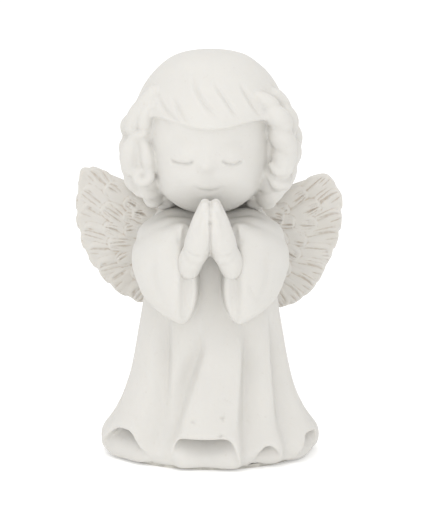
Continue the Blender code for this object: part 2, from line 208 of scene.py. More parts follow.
def ring_curl(centre, major, minor, facing, squeeze=1.0):
    """A curl closed on itself, seen through its hole."""
    turned = np.array(Vector(facing).to_track_quat("Z", "Y").to_matrix())
    steps, around = 48, 20
    a = full_turn(steps)[:, None]
    b = full_turn(around)[None]
    out = major + minor * np.cos(b)
    rings = np.stack([out * np.cos(a) * squeeze, out * np.sin(a), minor * np.sin(b) + 0 * a], -1)
    points = rings.reshape(-1, 3) @ turned.T + np.asarray(centre, float)
    here = np.arange(steps)[:, None] * around + np.arange(around)
    beside = np.arange(steps)[:, None] * around + (np.arange(around) + 1) % around
    total = steps * around
    quads = np.stack([here, (here + around) % total, (beside + around) % total, beside], -1)
    return points, quads.reshape(-1, 4)


def round_ring(ring, count):
    """A closed smooth curve through a ring's points."""
    ring = np.asarray(ring, float)
    t = np.linspace(0, len(ring), count, endpoint=False)
    i = t.astype(int)
    f = (t - i)[:, None]
    a, b, c, d = (ring[(i + k) % len(ring)] for k in (-1, 0, 1, 2))
    return 0.5 * (2 * b + (c - a) * f + (2 * a - 5 * b + 4 * c - d) * f * f + (3 * b - a - 3 * c + d) * f**3)


def mirrored(form):
    points, quads = form
    return points * (-1, 1, 1), quads[:, ::-1]


def joined(forms):
    points, quads, base = [], [], 0
    for form_points, form_quads in forms:
        points.append(form_points)
        quads.append(form_quads + base)
        base += len(form_points)
    return np.concatenate(points), np.concatenate(quads)


def mesh_of(name, points, quads):
    """A Blender mesh. A triangle is a quad that gives one corner twice."""
    mesh = bpy.data.meshes.new(name)
    mesh.from_pydata(points.tolist(), [], [list(dict.fromkeys(quad)) for quad in quads.tolist()])
    return mesh


def read(mesh):
    """A mesh's points, quads and edges as arrays."""

    def column(items, key, width=1, kind=np.int32):
        values = np.empty(len(items) * width, kind)
        items.foreach_get(key, values)
        return values

    points = column(mesh.vertices, "co", 3, float)
    edges = column(mesh.edges, "vertices", 2)
    corners = column(mesh.loops, "vertex_index")
    starts, totals = column(mesh.polygons, "loop_start"), column(mesh.polygons, "loop_total")
    steps = np.minimum(np.arange(4)[None], totals[:, None] - 1)
    return points.reshape(-1, 3), corners[starts[:, None] + steps], edges.reshape(-1, 2)


def shown_mesh(blank):
    """The plain mesh of an object as its modifiers leave it. The object is removed."""
    bpy.context.view_layer.update()
    graph = bpy.context.evaluated_depsgraph_get()
    mesh = bpy.data.meshes.new_from_object(blank.evaluated_get(graph))
    spent = blank.data
    bpy.data.objects.remove(blank)
    bpy.data.meshes.remove(spent)
    return mesh


class Clay:
    """One skin that can be smoothed, swollen and grooved, and then laid down as a finished piece."""

    def __init__(self, forms, voxel):
        """Fuses closed forms into one skin of even squares, as a sculptor blends pellets of clay."""
        blank = bpy.data.objects.new("blank", mesh_of("blank", *joined(forms)))
        bpy.context.scene.collection.objects.link(blank)
        fuse = blank.modifiers.new("fuse", "REMESH")
        fuse.mode = "VOXEL"
        fuse.voxel_size = voxel
        mesh = shown_mesh(blank)
        self.points, self.quads, self.edges = read(mesh)
        bpy.data.meshes.remove(mesh)
        self.keep_largest()
        both = np.concatenate([self.edges, self.edges[:, ::-1]])
        self.source, self.target = both[:, 0], both[:, 1]
        self.shares = np.bincount(self.target, minlength=len(self.points))[:, None]

    def keep_largest(self):
        """Drops the skins of closed pockets inside the casting."""
        label = np.arange(len(self.points))
        while True:
            low = np.minimum(label[self.edges[:, 0]], label[self.edges[:, 1]])
            fresh = label.copy()
            np.minimum.at(fresh, self.edges[:, 0], low)
            np.minimum.at(fresh, self.edges[:, 1], low)
            fresh = fresh[fresh]
            if (fresh == label).all():
                break
            label = fresh
        names, counts = np.unique(label, return_counts=True)
        kept = label == names[counts.argmax()]
        place = np.cumsum(kept) - 1
        self.points = self.points[kept]
        self.quads = place[self.quads[kept[self.quads[:, 0]]]]
        self.edges = place[self.edges[kept[self.edges[:, 0]]]]

    def mean(self, values):
        """Each point's average over its neighbours."""
        columns = [
            np.bincount(self.target, weights=column[self.source], minlength=len(values)) for column in values.T
        ]
        return np.stack(columns, -1) / self.shares

    def smooth(self, times, where=1.0):
        for _ in range(times):
            moved = 0.5 * (self.mean(self.points) - self.points)
            self.points = self.points + moved * np.reshape(where, (-1, 1))

    def normals(self):
        a, b, c, d = (self.points[self.quads[:, i]] for i in range(4))
        faces = np.cross(c - a, d - b)
        total = np.zeros_like(self.points)
        for i in range(4):
            for axis in range(3):
                total[:, axis] += np.bincount(self.quads[:, i], weights=faces[:, axis], minlength=len(total))
        return total / np.maximum(np.linalg.norm(total, axis=1), 1e-9)[:, None]

    def push(self, amounts):
        self.points = self.points + self.normals() * amounts[:, None]

    def swell(self, centre, size, amount):
        """Raises, or with a negative amount sinks, a soft round patch of the skin."""
        away = (self.points - np.asarray(centre, float)) / np.asarray(size, float)
        self.push(amount * np.exp(-(away**2).sum(1)))

    def groove(self, line, width, depth, lift=0.0, ends=0.25, front=False, reach=6.0):
        """Presses a line into the skin. lift raises the skin on the line's right-hand side, as one lock of hair
        or fold of cloth that lies over the next. A front line is given as (x, z) and falls on whatever faces
        -Y there."""
        line = np.asarray(line, float)
        spots = self.points[:, [0, 2]] if front else self.points
        flat_line = np.column_stack([line, np.zeros(len(line))]) if front else line
        path, _ = strung(flat_line, 0.7)
        path = path[:, : spots.shape[1]]
        near = (spots > path.min(0) - reach).all(1) & (spots < path.max(0) + reach).all(1)
        normal = self.normals()
        if front:
            near &= (normal[:, 1] < -0.15) & (self.points[:, 1] < 2)
        near = np.flatnonzero(near)
        spots, normal = spots[near], normal[near]
        best, share, side = np.full(len(near), 1e9), np.zeros(len(near)), np.zeros(len(near))
        for i, (a, b) in enumerate(zip(path, path[1:])):
            way = b - a
            t = np.clip((spots - a) @ way / (way @ way), 0, 1)
            off = spots - a - t[:, None] * way
            gap = np.linalg.norm(off, axis=1)
            closer = gap < best
            best[closer], share[closer] = gap[closer], (i + t[closer]) / (len(path) - 1)
            if front:
                turn = way[0] * off[:, 1] - way[1] * off[:, 0]
            else:
                turn = (np.cross(np.broadcast_to(way, off.shape), off) * normal).sum(1)
            side[closer] = turn[closer]
        strength = fade(share, 0, ends) * fade(1 - share, 0, ends)
        amount = -depth * bell(best, width)
        amount += lift * bell(best, 2.6 * width) * (1 - bell(best, width)) * (side < 0)
        self.points[near] += normal * (amount * strength)[:, None]

    def hollows(self, times, scale):
        """How far each point lies below its surroundings: 0 on open skin, 1 deep in a crease."""
        spread = self.points
        for _ in range(times):
            spread = self.mean(spread)
        return np.clip(((spread - self.points) * self.normals()).sum(1) / scale, -1, 1)

    def lay_down(self, name, material, node, slot):
        """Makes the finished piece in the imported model's frame, in place of its CAD node."""
        mesh = mesh_of(name, self.points * MM + np.array([AXIS.x, AXIS.y, 0]), self.quads)
        # crease and hollow measure how far each point lies in a narrow crease and in a broad hollow; the resin
        # shaders darken by them as painted shade
        for key, value in (("crease", self.hollows(4, 0.05)), ("hollow", self.hollows(40, 0.35))):
            layer = mesh.attributes.new(key, "FLOAT", "POINT")
            layer.data.foreach_set("value", value.astype(np.float32))
        mesh.materials.append(material)
        mesh.shade_smooth()
        piece = bpy.data.objects.new(name, mesh)
        bpy.context.scene.collection.objects.link(piece)
        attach(piece, "root")
        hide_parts(node)
        return piece


# ---- materials -----------------------------------------------------------------------------------------

# How deep a crease is where its brown darkening, partly grime and partly painted shade, begins and where it is
# full.
BODY_CREASE_GRIME_AND_SHADE = (0.8, 2.6)
WING_CREASE_GRIME_AND_SHADE = (0.27, 1.6)


def plug(links, socket, value):
    """Links a socket to the one given, or sets it to a plain value."""
    if isinstance(value, bpy.types.NodeSocket):
        links.new(value, socket)
    elif socket.type == "RGBA":
        socket.default_value = (*value, 1)
    else:
        socket.default_value = value


class Finish:
    """A node material with one Principled shader, built node by node."""

    def __init__(self, name, roughness, **fixed):
        self.material = bpy.data.materials.new(name)
        self.material.use_nodes = True
        self.tree = self.material.node_tree
        self.shader = self.tree.nodes["Principled BSDF"]
        self.shader.inputs["Roughness"].default_value = roughness
        for key, value in fixed.items():
            self.shader.inputs[key.replace("_", " ")].default_value = value
        self.place = self.node("ShaderNodeTexCoord").outputs["Object"]

    def node(self, kind, settings=None, **inputs):
        """A node with these settings. Each input is a socket to link or a plain value."""
        made = self.tree.nodes.new(kind)
        for key, value in (settings or {}).items():
            setattr(made, key, value)
        for key, value in inputs.items():
            plug(self.tree.links, made.inputs[key.replace("_", " ")], value)
        return made

    def noise(self, size, detail=2.0, roughness=0.5, distortion=0.0):
        """A soft noise from 0 to 1 with features about this many metres across."""
        shape = {"Scale": 1 / size, "Detail": detail, "Roughness": roughness, "Distortion": distortion}
        return self.node("ShaderNodeTexNoise", Vector=self.place, **shape).outputs["Fac"]

    def ramp(self, value, start, end, low=0.0, high=1.0):
        made = self.node("ShaderNodeMapRange", {"interpolation_type": "SMOOTHSTEP"}, Value=value)
        for key, number in zip(("From Min", "From Max", "To Min", "To Max"), (start, end, low, high)):
            made.inputs[key].default_value = number
        return made.outputs["Result"]

    def attribute(self, name):
        return self.node("ShaderNodeAttribute", {"attribute_name": name}).outputs["Fac"]

    def maths(self, operation, a, b):
        made = self.node("ShaderNodeMath", {"operation": operation})
        for socket, value in zip(made.inputs, (a, b)):
            plug(self.tree.links, socket, value)
        return made.outputs["Value"]

    def mix(self, share, a, b):
        """A colour mixed from two. Each is a socket or an RGB triple."""
        made = self.node("ShaderNodeMix", {"data_type": "RGBA"})
        for socket, value in zip((made.inputs["Factor"], made.inputs[6], made.inputs[7]), (share, a, b)):
            plug(self.tree.links, socket, value)
        return made.outputs[2]

    def wear(self, colour=None, roughness=None, bumps=()):
        """Joins the patterns to the shader. bumps are (height, depth in metres)."""
        if colour is not None:
            self.tree.links.new(colour, self.shader.inputs["Base Color"])
        if roughness is not None:
            self.tree.links.new(roughness, self.shader.inputs["Roughness"])
        normal = None
        for height, depth in bumps:
            bump = self.node("ShaderNodeBump", Height=height, Distance=depth, Strength=1.0)
            if normal is not None:
                self.tree.links.new(normal, bump.inputs["Normal"])
            normal = bump.outputs["Normal"]
        if normal is not None:
            self.tree.links.new(normal, self.shader.inputs["Normal"])
        return self.material


def cast_resin(name, colour, shade, grime_and_crease_shade, crease_darkening_start, crease_darkening_end):
    """Unpainted filled resin: matt and chalky, a little cloudy, with painted shade in its broad hollows, and its
    creases darkened brown, partly by grime and partly as painted shade.
    """
    mottling, specks, shaded_hollows = 0.5, 0.10, 0.35
    finish = Finish(name, 0.62, Specular_IOR_Level=0.35, Subsurface_Weight=0.12)
    finish.shader.inputs["Subsurface Radius"].default_value = (1.0, 0.85, 0.65)
    finish.shader.inputs["Subsurface Scale"].default_value = 0.0012
    cloud = finish.ramp(finish.noise(0.011, 3.0), 0.32, 0.68)
    speck = finish.ramp(finish.noise(0.0011, 2.0), 0.62, 0.8)
    body = finish.mix(finish.maths("MULTIPLY", cloud, mottling), colour, shade)
    body = finish.mix(finish.maths("MULTIPLY", speck, specks), body, grime_and_crease_shade)
    # Painted shade: the resin is darkened toward its shade colour in broad hollows, by the hollow attribute.
    hollow = finish.ramp(finish.attribute("hollow"), 0.08, 0.9)
    body = finish.mix(finish.maths("MULTIPLY", hollow, shaded_hollows), body, shade)
    # Grime and painted shade: creases are darkened in patches toward the brown grime colour.
    crease = finish.ramp(finish.attribute("crease"), crease_darkening_start, crease_darkening_end)
    patchy = finish.ramp(finish.noise(0.004, 2.0), 0.3, 0.75, 0.45, 1.0)
    body = finish.mix(finish.maths("MULTIPLY", crease, patchy), body, grime_and_crease_shade)
    worn = finish.ramp(finish.noise(0.006, 3.0), 0.3, 0.7, 0.54, 0.7)
    grain = finish.noise(0.00035, 3.0, 0.6)
    orange_peel = finish.noise(0.0021, 2.0)
    return finish.wear(body, worn, [(orange_peel, 0.00006), (grain, 0.000035)])


def cured_glue(name, colour, dark):
    """Old epoxy squeezed out of a joint, dull and stained brown."""
    finish = Finish(name, 0.42, Specular_IOR_Level=0.5)
    stain = finish.ramp(finish.noise(0.0022, 3.0), 0.35, 0.65)
    grit = finish.noise(0.0005, 3.0)
    rough = finish.ramp(finish.noise(0.0015), 0.3, 0.7, 0.3, 0.6)
    return finish.wear(finish.mix(stain, colour, dark), rough, [(grit, 0.00008)])


def drawn_steel(name, colour):
    finish = Finish(name, 0.32, Metallic=1.0)
    streaks = finish.node("ShaderNodeMapping", Vector=finish.place)
    streaks.inputs["Scale"].default_value = (1, 1, 0.05)
    lines = finish.node("ShaderNodeTexNoise", Vector=streaks.outputs["Vector"], Scale=6000.0, Detail=2.0)
    dull = finish.ramp(lines.outputs["Fac"], 0.3, 0.7, 0.24, 0.42)
    tint = finish.mix(finish.ramp(finish.noise(0.003), 0.3, 0.7), colour, tuple(0.8 * c for c in colour))
    return finish.wear(tint, dull, [(lines.outputs["Fac"], 0.00001)])


def pressed_felt(name, colour):
    finish = Finish(name, 0.95, Sheen_Weight=0.4, Specular_IOR_Level=0.1)
    nap = finish.noise(0.0004, 4.0, 0.7, 1.2)
    clumps = finish.ramp(finish.noise(0.0025, 3.0), 0.3, 0.7)
    tint = finish.mix(clumps, colour, tuple(0.72 * c for c in colour))
    return finish.wear(tint, None, [(nap, 0.0002)])


# ---- head ----------------------------------------------------------------------------------------------

HAIR_MIDDLE_Y = -1.5
HAIR_DEPTH_SHARE = 0.965
# Half width of the hair's bulk, from its nape up to the crown.
HAIR_PROFILE = (
    (0, 70.2), (9, 70.3), (14.4, 71.2), (18.0, 73.2), (20.4, 77.2), (21.6, 82), (21.9, 86), (21.6, 90),
     (20.6, 94),
    (18.9, 98), (16.7, 102), (14.9, 104.3), (12.7, 106.4), (9.8, 108.4), (6.8, 109.4), (3.6, 109.9), (0, 110.0),
)  # fmt: skip
FRINGE_LINE = (
    (-19, 84), (-17.6, 88.5), (-16.4, 92.2), (-14.6, 94.1), (-10.4, 93.8), (-6.5, 92.7), (-3.5, 92.1),
     (0.4, 91.9),
    (4.5, 92.1), (8.3, 92.9), (13.2, 93.5), (15.4, 92.2), (16.8, 89), (18.2, 84),
)  # fmt: skip
FACE_MIDDLE_Y = -4.0
# Half width of the face, from under the chin up into the fringe.
FACE_PROFILE = (
    (0, 67.3), (4.5, 67.6), (7.8, 68.8), (10.6, 70.9), (13.1, 73.7), (14.7, 77.3), (15.8, 81), (16.7, 85.6),
    (17.1, 90), (16.8, 95), (14.5, 99.5), (8, 103.5), (0, 105),
)  # fmt: skip
# Depth of the face in front of its middle, at heights.
FACE_FRONT = ((67.3, 12.6), (70, 14.8), (74, 17.0), (78, 18.1), (82, 17.6), (85, 17.0), (90, 16.8), (95, 16.6),
              (105, 15))  # fmt: skip
FACE_OFFSET_X = -0.5
LASH_LINES = (
    ((-10.7, 83.5), (-9.0, 82.95), (-7.1, 82.75), (-5.1, 83.0), (-4.3, 83.9)),
    ((2.9, 83.9), (3.9, 83.0), (5.5, 82.6), (7.2, 82.75), (8.6, 83.6)),
)
EYE_MIDDLES = ((-7.2, 84.9), (5.7, 84.8))
NOSE = (-0.9, 82.5)
MOUTH_LINE = ((-3.7, 76.5), (-2.2, 75.75), (-0.2, 75.45), (1.6, 75.9), (2.5, 76.5))
# Strand grooves in the fringe, as (x, z) seen from the front.
FRINGE_STRANDS = (
    ((-14.0, 101.6), (-13.0, 98.1), (-10.4, 95.2), (-7.3, 93.2), (-5.8, 92.4)),
    ((-10.2, 100.6), (-8.1, 96.6), (-6.3, 93.8), (-4.5, 92.4)),
    ((-5.0, 107.0), (-4.6, 104.8), (-3.6, 101.8), (-1.8, 98.8), (0.6, 96.2), (3.2, 93.1)),
    ((0.4, 105.4), (1.6, 102.6), (3.7, 99.7), (6.8, 95.5), (8.9, 93.6)),
    ((7.2, 104.6), (8.0, 102.6), (9.7, 99.8), (12.0, 96.3), (14.3, 93.9)),
)
# Curls at the front: stations of (x, y, z, radius) down each one and, where it is coiled, the coil's pitch, the
# groove's share of the radius and the groove's start.
FRONT_CURLS = (
    (((12.6, -13.6, 99.6, 1.6), (15.4, -13.4, 96.8, 2.5), (17.4, -12.8, 93.8, 3.0), (18.4, -12.2, 90.4, 3.2),
      (18.9, -11.6, 87.0, 3.2), (19.2, -10.8, 83.4, 3.0), (18.2, -10.4, 79.6, 2.9), (17.6, -9.6, 76.0, 2.4)),
     -6.4, 0.24, 0.35),
    (((19.9, -10.6, 83.9, 2.9), (19.8, -10.5, 83.0, 2.9)),),
    (((15.6, -12.4, 81.4, 0.7), (17.6, -13.0, 79.6, 1.3), (20.2, -11.2, 79.8, 1.3), (21.4, -8.6, 81.2, 0.8)),),
    (((15.2, -11.6, 78.2, 0.7), (17.2, -12.2, 76.2, 1.4), (19.6, -10.6, 76.0, 1.4), (21.0, -8.0, 77.2, 0.9)),),
    (((16.6, -7.6, 98.6, 2.2), (19.0, -7.4, 95.2, 2.6), (20.2, -7.0, 91.8, 2.7), (20.1, -6.2, 87.8, 2.4),
      (20.9, -5.6, 83.4, 2.9), (20.2, -5.0, 78.4, 2.5), (19.2, -4.8, 74.4, 2.0)), -7.5, 0.2, 0.1),
    (((15.4, -9.0, 78.0, 2.8), (16.2, -6.0, 74.6, 3.4), (15.0, -3.4, 70.6, 2.8)), 6.0, 0.16, 0.0),
    (((9.4, 3.4, 74, 4.0), (9.0, 4.0, 70.4, 3.8)),),
    (((-9.4, 3.4, 74, 4.0), (-9.0, 4.0, 70.4, 3.8)),),
    (((13.4, -2.0, 76, 3.6), (12.8, -0.5, 72.5, 3.8), (12.0, 0.5, 69.6, 3.0)), 6.0, 0.12, 0.3),
    (((-13.4, -2.0, 76, 3.6), (-12.8, -0.5, 72.5, 3.8), (-12.0, 0.5, 69.6, 3.0)), -6.0, 0.12, 0.3),
    (((-15.6, -11.6, 91.0, 1.8), (-17.4, -9.6, 86.5, 3.0), (-17.4, -8.4, 81, 3.2), (-16.8, -7.6, 76, 2.6)),),
    (((-14.4, -10.6, 100, 2.2), (-17.0, -10.6, 96.4, 2.8), (-19.0, -9.8, 93.2, 3.0),
     (-19.6, -9.2, 91.0, 2.9)),),
    (((-15.4, -13.0, 97.0, 1.3), (-16.8, -13.2, 94.4, 1.8), (-17.1, -13.0, 92.2, 1.9)),),
    (((-19.2, -11.2, 88.2, 1.5), (-20.3, -10.2, 86.0, 2.6), (-20.9, -9.4, 82.8, 3.0),
     (-20.9, -9.0, 80.2, 2.6)),),
    (((-16.9, -13.4, 90.0, 1.0), (-18.2, -12.8, 89.3, 1.3), (-20.2, -11.2, 87.8, 1.3),
     (-21.4, -9.8, 85.6, 0.9)),),
    (((-17.2, -12.6, 88.2, 0.7), (-16.6, -12.9, 85.0, 1.6), (-16.2, -12.9, 82.4, 1.8),
     (-15.8, -12.6, 80.4, 1.3)),),
    (((-20.6, -6.4, 80.4, 2.8), (-20.2, -5.4, 76.6, 2.7), (-18.8, -4.8, 73.4, 2.0)), 5.0, 0.18, 0.4),
    (((-16.0, -8.0, 77.0, 2.6), (-16.0, -5.0, 73.8, 3.2), (-15.0, -3.2, 70.8, 2.6)), -6.0, 0.16, 0.0),
    (((-15.4, -8.4, 93.0, 2.4), (-16.4, -8.2, 86.0, 3.0), (-15.8, -7.4, 79.0, 3.0)),),
    (((15.2, -8.4, 93.0, 2.4), (16.0, -8.2, 86.0, 3.0), (15.4, -7.4, 79.0, 3.0)),),
)  # fmt: skip
# The curl low beside the left cheek, wound round on itself: middle, radius, thickness, facing and squeeze.
CHEEK_CURL = ((-17.5, -12.0, 78.3), 1.65, 1.3, (-0.35, -1, 0.35), 1.1)
NECK = ((0, 0, 69.0, 6.0), (0, 0, 80, 6.4))
# Ringlets at the sides and back: angle from the front, top, bottom.
REAR_RINGLETS = (
    (-94, 93.5, 75.4), (-121, 94.5, 76.3), (-149, 95.1, 75.2), (94, 94.0, 75.4), (121, 95, 76.1),
     (148, 94.3, 75.3),
    (179, 95.6, 75.2),
)  # fmt: skip


def even_profile(profile, count):
    """The half widths and heights of a profile at evenly spaced places along it."""
    widths, heights = np.array(profile, float).T
    along = np.concatenate([[0], np.cumsum(np.hypot(np.diff(widths), np.diff(heights)))])
    fine = np.linspace(0, along[-1], count)
    return eased(fine, along, widths), eased(fine, along, heights)


def hair_width(z):
    widths, heights = even_profile(HAIR_PROFILE, 400)
    return np.interp(z, heights, widths)


def hair_point(angle, z, out=0.0):
    """The point on the hair's bulk at an angle from the front and a height."""
    angle = math.radians(angle)
    width = float(hair_width(z)) + out
    return (width * math.sin(angle), HAIR_MIDDLE_Y - width * HAIR_DEPTH_SHARE * math.cos(angle), z)


def turned_profile(profile, count):
    """The same without the two ends, where a turned form closes to a point."""
    widths, heights = even_profile(profile, count)
    return np.maximum(widths[1:-1], 0.02), heights[1:-1]


def hair_cap(fringe_thickness):
    """The hair's bulk, with the front pushed in below the fringe to leave a window for the face."""
    widths, heights = turned_profile(HAIR_PROFILE, 320)
    turn = full_turn(480)[None]
    x = widths[:, None] * np.sin(turn)
    y = HAIR_MIDDLE_Y - HAIR_DEPTH_SHARE * widths[:, None] * np.cos(turn)
    z = heights[:, None] + 0 * turn
    edges, falls = np.array(FRINGE_LINE).T
    window = fade(eased(x, edges, falls) - z, -0.2, 0.25) * fade(-y, 4, 6) * (np.abs(x) < 18.4)
    inner = 1 - (x / 17) ** 2 - ((z - 85.5) / 18.5) ** 2
    behind = FACE_MIDDLE_Y - (17.4 - fringe_thickness) * np.sqrt(np.maximum(inner, 0)) + 0.6
    y = y + window * np.maximum(behind - y, 0)
    return skin(np.stack([x, y, z], -1))


def face_form():
    widths, heights = turned_profile(FACE_PROFILE, 200)
    turn = full_turn(200)[None]
    levels, depths = np.array(FACE_FRONT).T
    front = eased(heights, levels, depths)[:, None]
    share = widths[:, None] / 17.1
    depth = np.where(np.cos(turn) > 0, front, 15.0) * share**0.82
    x = FACE_OFFSET_X + widths[:, None] * np.sin(turn)
    y = FACE_MIDDLE_Y - depth * np.cos(turn)
    return skin(np.stack([x, y, heights[:, None] + 0 * turn], -1))


def front_y(clay, x, z, reach=0.7):
    """Where the clay's front surface lies at (x, z)."""
    near = (np.abs(clay.points[:, 0] - x) < reach) & (np.abs(clay.points[:, 2] - z) < reach)
    return clay.points[near, 1].min()


def sculpt_head(sizes):
    forms = [hair_cap(sizes.fringe_thickness / MM), face_form()]
    forms.append(rope(NECK, around=48))
    for stations, *winding in FRONT_CURLS:
        forms.append(rope(stations, 1.0, *winding))
    forms.append(ring_curl(*CHEEK_CURL))
    radius = sizes.ringlet_radius / MM
    for number, (angle, top, bottom) in enumerate(REAR_RINGLETS):
        levels = np.linspace(top, bottom + 2, 7)
        swells = radius * np.array([0.5, 0.86, 0.98, 1.0, 0.96, 0.84, 0.56])
        stations = [
            (*hair_point(angle + 2 * math.sin(1.9 * i + number), max(z, 78), -0.55 * radius)[:2], z, swells[i])
            for i, z in enumerate(levels)
        ]
        coil = (7.2 + 0.5 * (number % 3)) * (1 if angle < 0 else -1)
        forms.append(rope(stations, 1.0, coil, 0.22, 0.37 * number))
    clay = Clay(forms, 0.35)
    clay.smooth(6)
    return clay


def carve_hair(clay, depth):
    for strand in FRINGE_STRANDS:
        clay.groove(strand, 0.6, 1.7 * depth, 1.2 * depth, ends=0.4, front=True)
    rng = np.random.default_rng(11)
    for angle in range(68, 292, 14):
        signed = angle if angle <= 180 else angle - 360
        way = math.copysign(1, signed)
        begin = rng.uniform(104.5, 107.8)
        end = rng.uniform(94.0, 97.5)
        sway = rng.uniform(4, 11)
        line = [
            hair_point(signed + way * sway * math.sin(1.5 * share), begin + (end - begin) * share, 0.0)
            for share in np.linspace(0, 1, 7)
        ]
        clay.groove(line, 0.5, depth * rng.uniform(0.7, 1.2), 0.4 * depth, ends=0.3)


def carve_face(clay, sizes):
    x, z = NOSE
    tip = front_y(clay, x, z)
    clay.swell((x, tip, z + 3.0), (2.4, 4, 3.4), 0.3)
    clay.swell((x, tip, z), (1.75, 4, 1.7), sizes.nose_height / MM)
    for x, z in ((-8.9, 77.8), (8.0, 78.2)):
        clay.swell((x, front_y(clay, x, z), z), (5.2, 7, 4.4), 0.8)
    for (x, z), lash in zip(EYE_MIDDLES, LASH_LINES):
        y = front_y(clay, x, z)
        clay.swell((x, y, z + 3.6), (4.6, 5, 1.9), -0.38)
        clay.swell((x, y, z), (3.5, 5, 2.1), 0.62)
        clay.swell((x, y, z - 3.6), (3.8, 5, 1.2), -0.18)
        clay.groove(lash, 0.27, sizes.lash_depth / MM, 0.0, ends=0.12, front=True)
    clay.swell((-0.7, front_y(clay, -0.7, 76.9), 76.9), (2.9, 4, 1.0), 0.3)
    clay.swell((-0.9, front_y(clay, -0.9, 73.9), 74.1), (2.3, 4, 0.95), 0.38)
    clay.swell((-0.8, front_y(clay, -0.8, 72.2), 72.2), (2.8, 4, 0.8), -0.2)
    clay.groove(MOUTH_LINE, 0.34, sizes.lash_depth / MM * 0.6, 0.0, ends=0.25, front=True)
    for x, z in (MOUTH_LINE[0], MOUTH_LINE[-1]):
        clay.swell((x, front_y(clay, x, z), z), (0.8, 2, 0.6), -0.2)


# ---- robe ----------------------------------------------------------------------------------------------

# Height, half width and half depth of the robe.
ROBE_PROFILE = (
    (0.0, 30.1, 24.0), (3.5, 30.3, 24.1), (6.0, 29.8, 23.1), (9.5, 27.4, 21.0), (13.5, 25.1, 19.1),
    (19.0, 23.2, 17.4), (25.5, 21.5, 16.0), (34.0, 19.8, 14.9), (43.0, 18.1, 13.8), (54.0, 16.6, 13.0),
    (60.0, 15.2, 12.2), (64.2, 12.6, 10.6), (66.5, 9.4, 8.6), (67.5, 7.2, 7.2),
)  # fmt: skip
# Valleys between pleats: the angle from the front at heights, then depth, and half width in degrees to the left
# and to the right.
VALLEYS = (
    (((6, -33.5), (18.4, -35.6), (38, -40.7)), 2.7, 8.5, 6.5),
    (((6, -24.5), (8.7, -24), (20.8, -19.1), (32.2, -8.9)), 2.5, 9.0, 4.5),
    (((6, 20.1), (18.9, 25.3), (34.1, 30.7)), 2.8, 3.8, 9.5),
    (((6, 47), (8.2, 48), (20.1, 55.1), (35.8, 61.4)), 2.8, 5.2, 9.5),
    (((5, 88), (36, 94)), 1.7, 7, 9),
    (((5, 118), (36, 122)), 2.0, 6, 9),
    (((5, 158), (36, 152)), 1.9, 9, 6),
    (((5, -160), (36, -154)), 2.0, 6, 9),
    (((5, -121), (36, -126)), 1.9, 9, 6),
    (((5, -88), (36, -94)), 1.5, 7, 7),
)
# Arches of the hem: angle, half width in degrees to the left and to the right, lift, flat share of the arch, and
# how far the cloth flares.
ARCHES = (
    (-57, 30, 27, 7.6, 0.15, 1.1),
    (-3.5, 21.5, 20.5, 7.3, 0.6, 1.1),
    (32.5, 11.5, 12, 4.7, 0.0, 0.5),
    (70, 17, 23, 6.2, 0.3, 1.2),
    (106, 14, 16, 4.2, 0.0, 0.6),
    (138, 18, 20, 6.6, 0.0, 0.8),
    (180, 19, 20, 6.2, 0.1, 0.8),
    (-141, 20, 18, 6.9, 0.0, 0.8),
    (-104, 14, 12, 4.0, 0.0, 0.6),
)
FRONT_DRAWN_IN = 3.0  # how much nearer the axis the front of the hem stands than the back
HEM_LOW = 1.3
ROUND_ROBE = np.linspace(-180, 180, 720, endpoint=False)  # degrees from the front
# The foot stands this far behind the hem, and further under the arches: angle, how much further, width in degrees.
FOOT_SET_BACK = 1.0
FOOT_HOLLOWS = (
    (-3.5, 3.3, 15), (-3.0, 0.5, 5), (33, 2.2, 8), (71, 2.8, 14), (-58, 3.0, 19), (138, 2.2, 12),
     (180, 2.2, 12),
    (-141, 2.2, 12),
)  # fmt: skip
# The foot's outside: height and inset.
FOOT_RINGS = ((0.3, 1.2), (0.45, 0.75), (0.8, 0.4), (1.4, 0.15), (2.4, 0), (4, 0.3), (6, 0.9), (8, 1.6), (12, 3))
FELT_SPARE, POCKET_ROOF = 0.35, 1.4  # play round the felt pad and the height of its pocket
# The rounds of the shoulders and collar: (x, y, z, radius) out from the neck.
SHOULDERS = (
    ((5, 4.5, 63.6, 4.0), (11, 5, 62.4, 4.8)),
    ((4.4, -9.6, 61.8, 4.6), (9.4, -8.8, 61.9, 5.0), (13.6, -6.4, 60.6, 4.9)),
    ((5, -2, 63.0, 4.4), (10, -2.6, 62.8, 5.2), (14.6, -4, 60.2, 5.2)),
)
# Pinholes in the front panel: x, z and the size of the hole.
PINHOLES = ((-4.6, 13.4, 0.28), (3.3, 14.4, 0.26), (2.8, 9.8, 0.34))
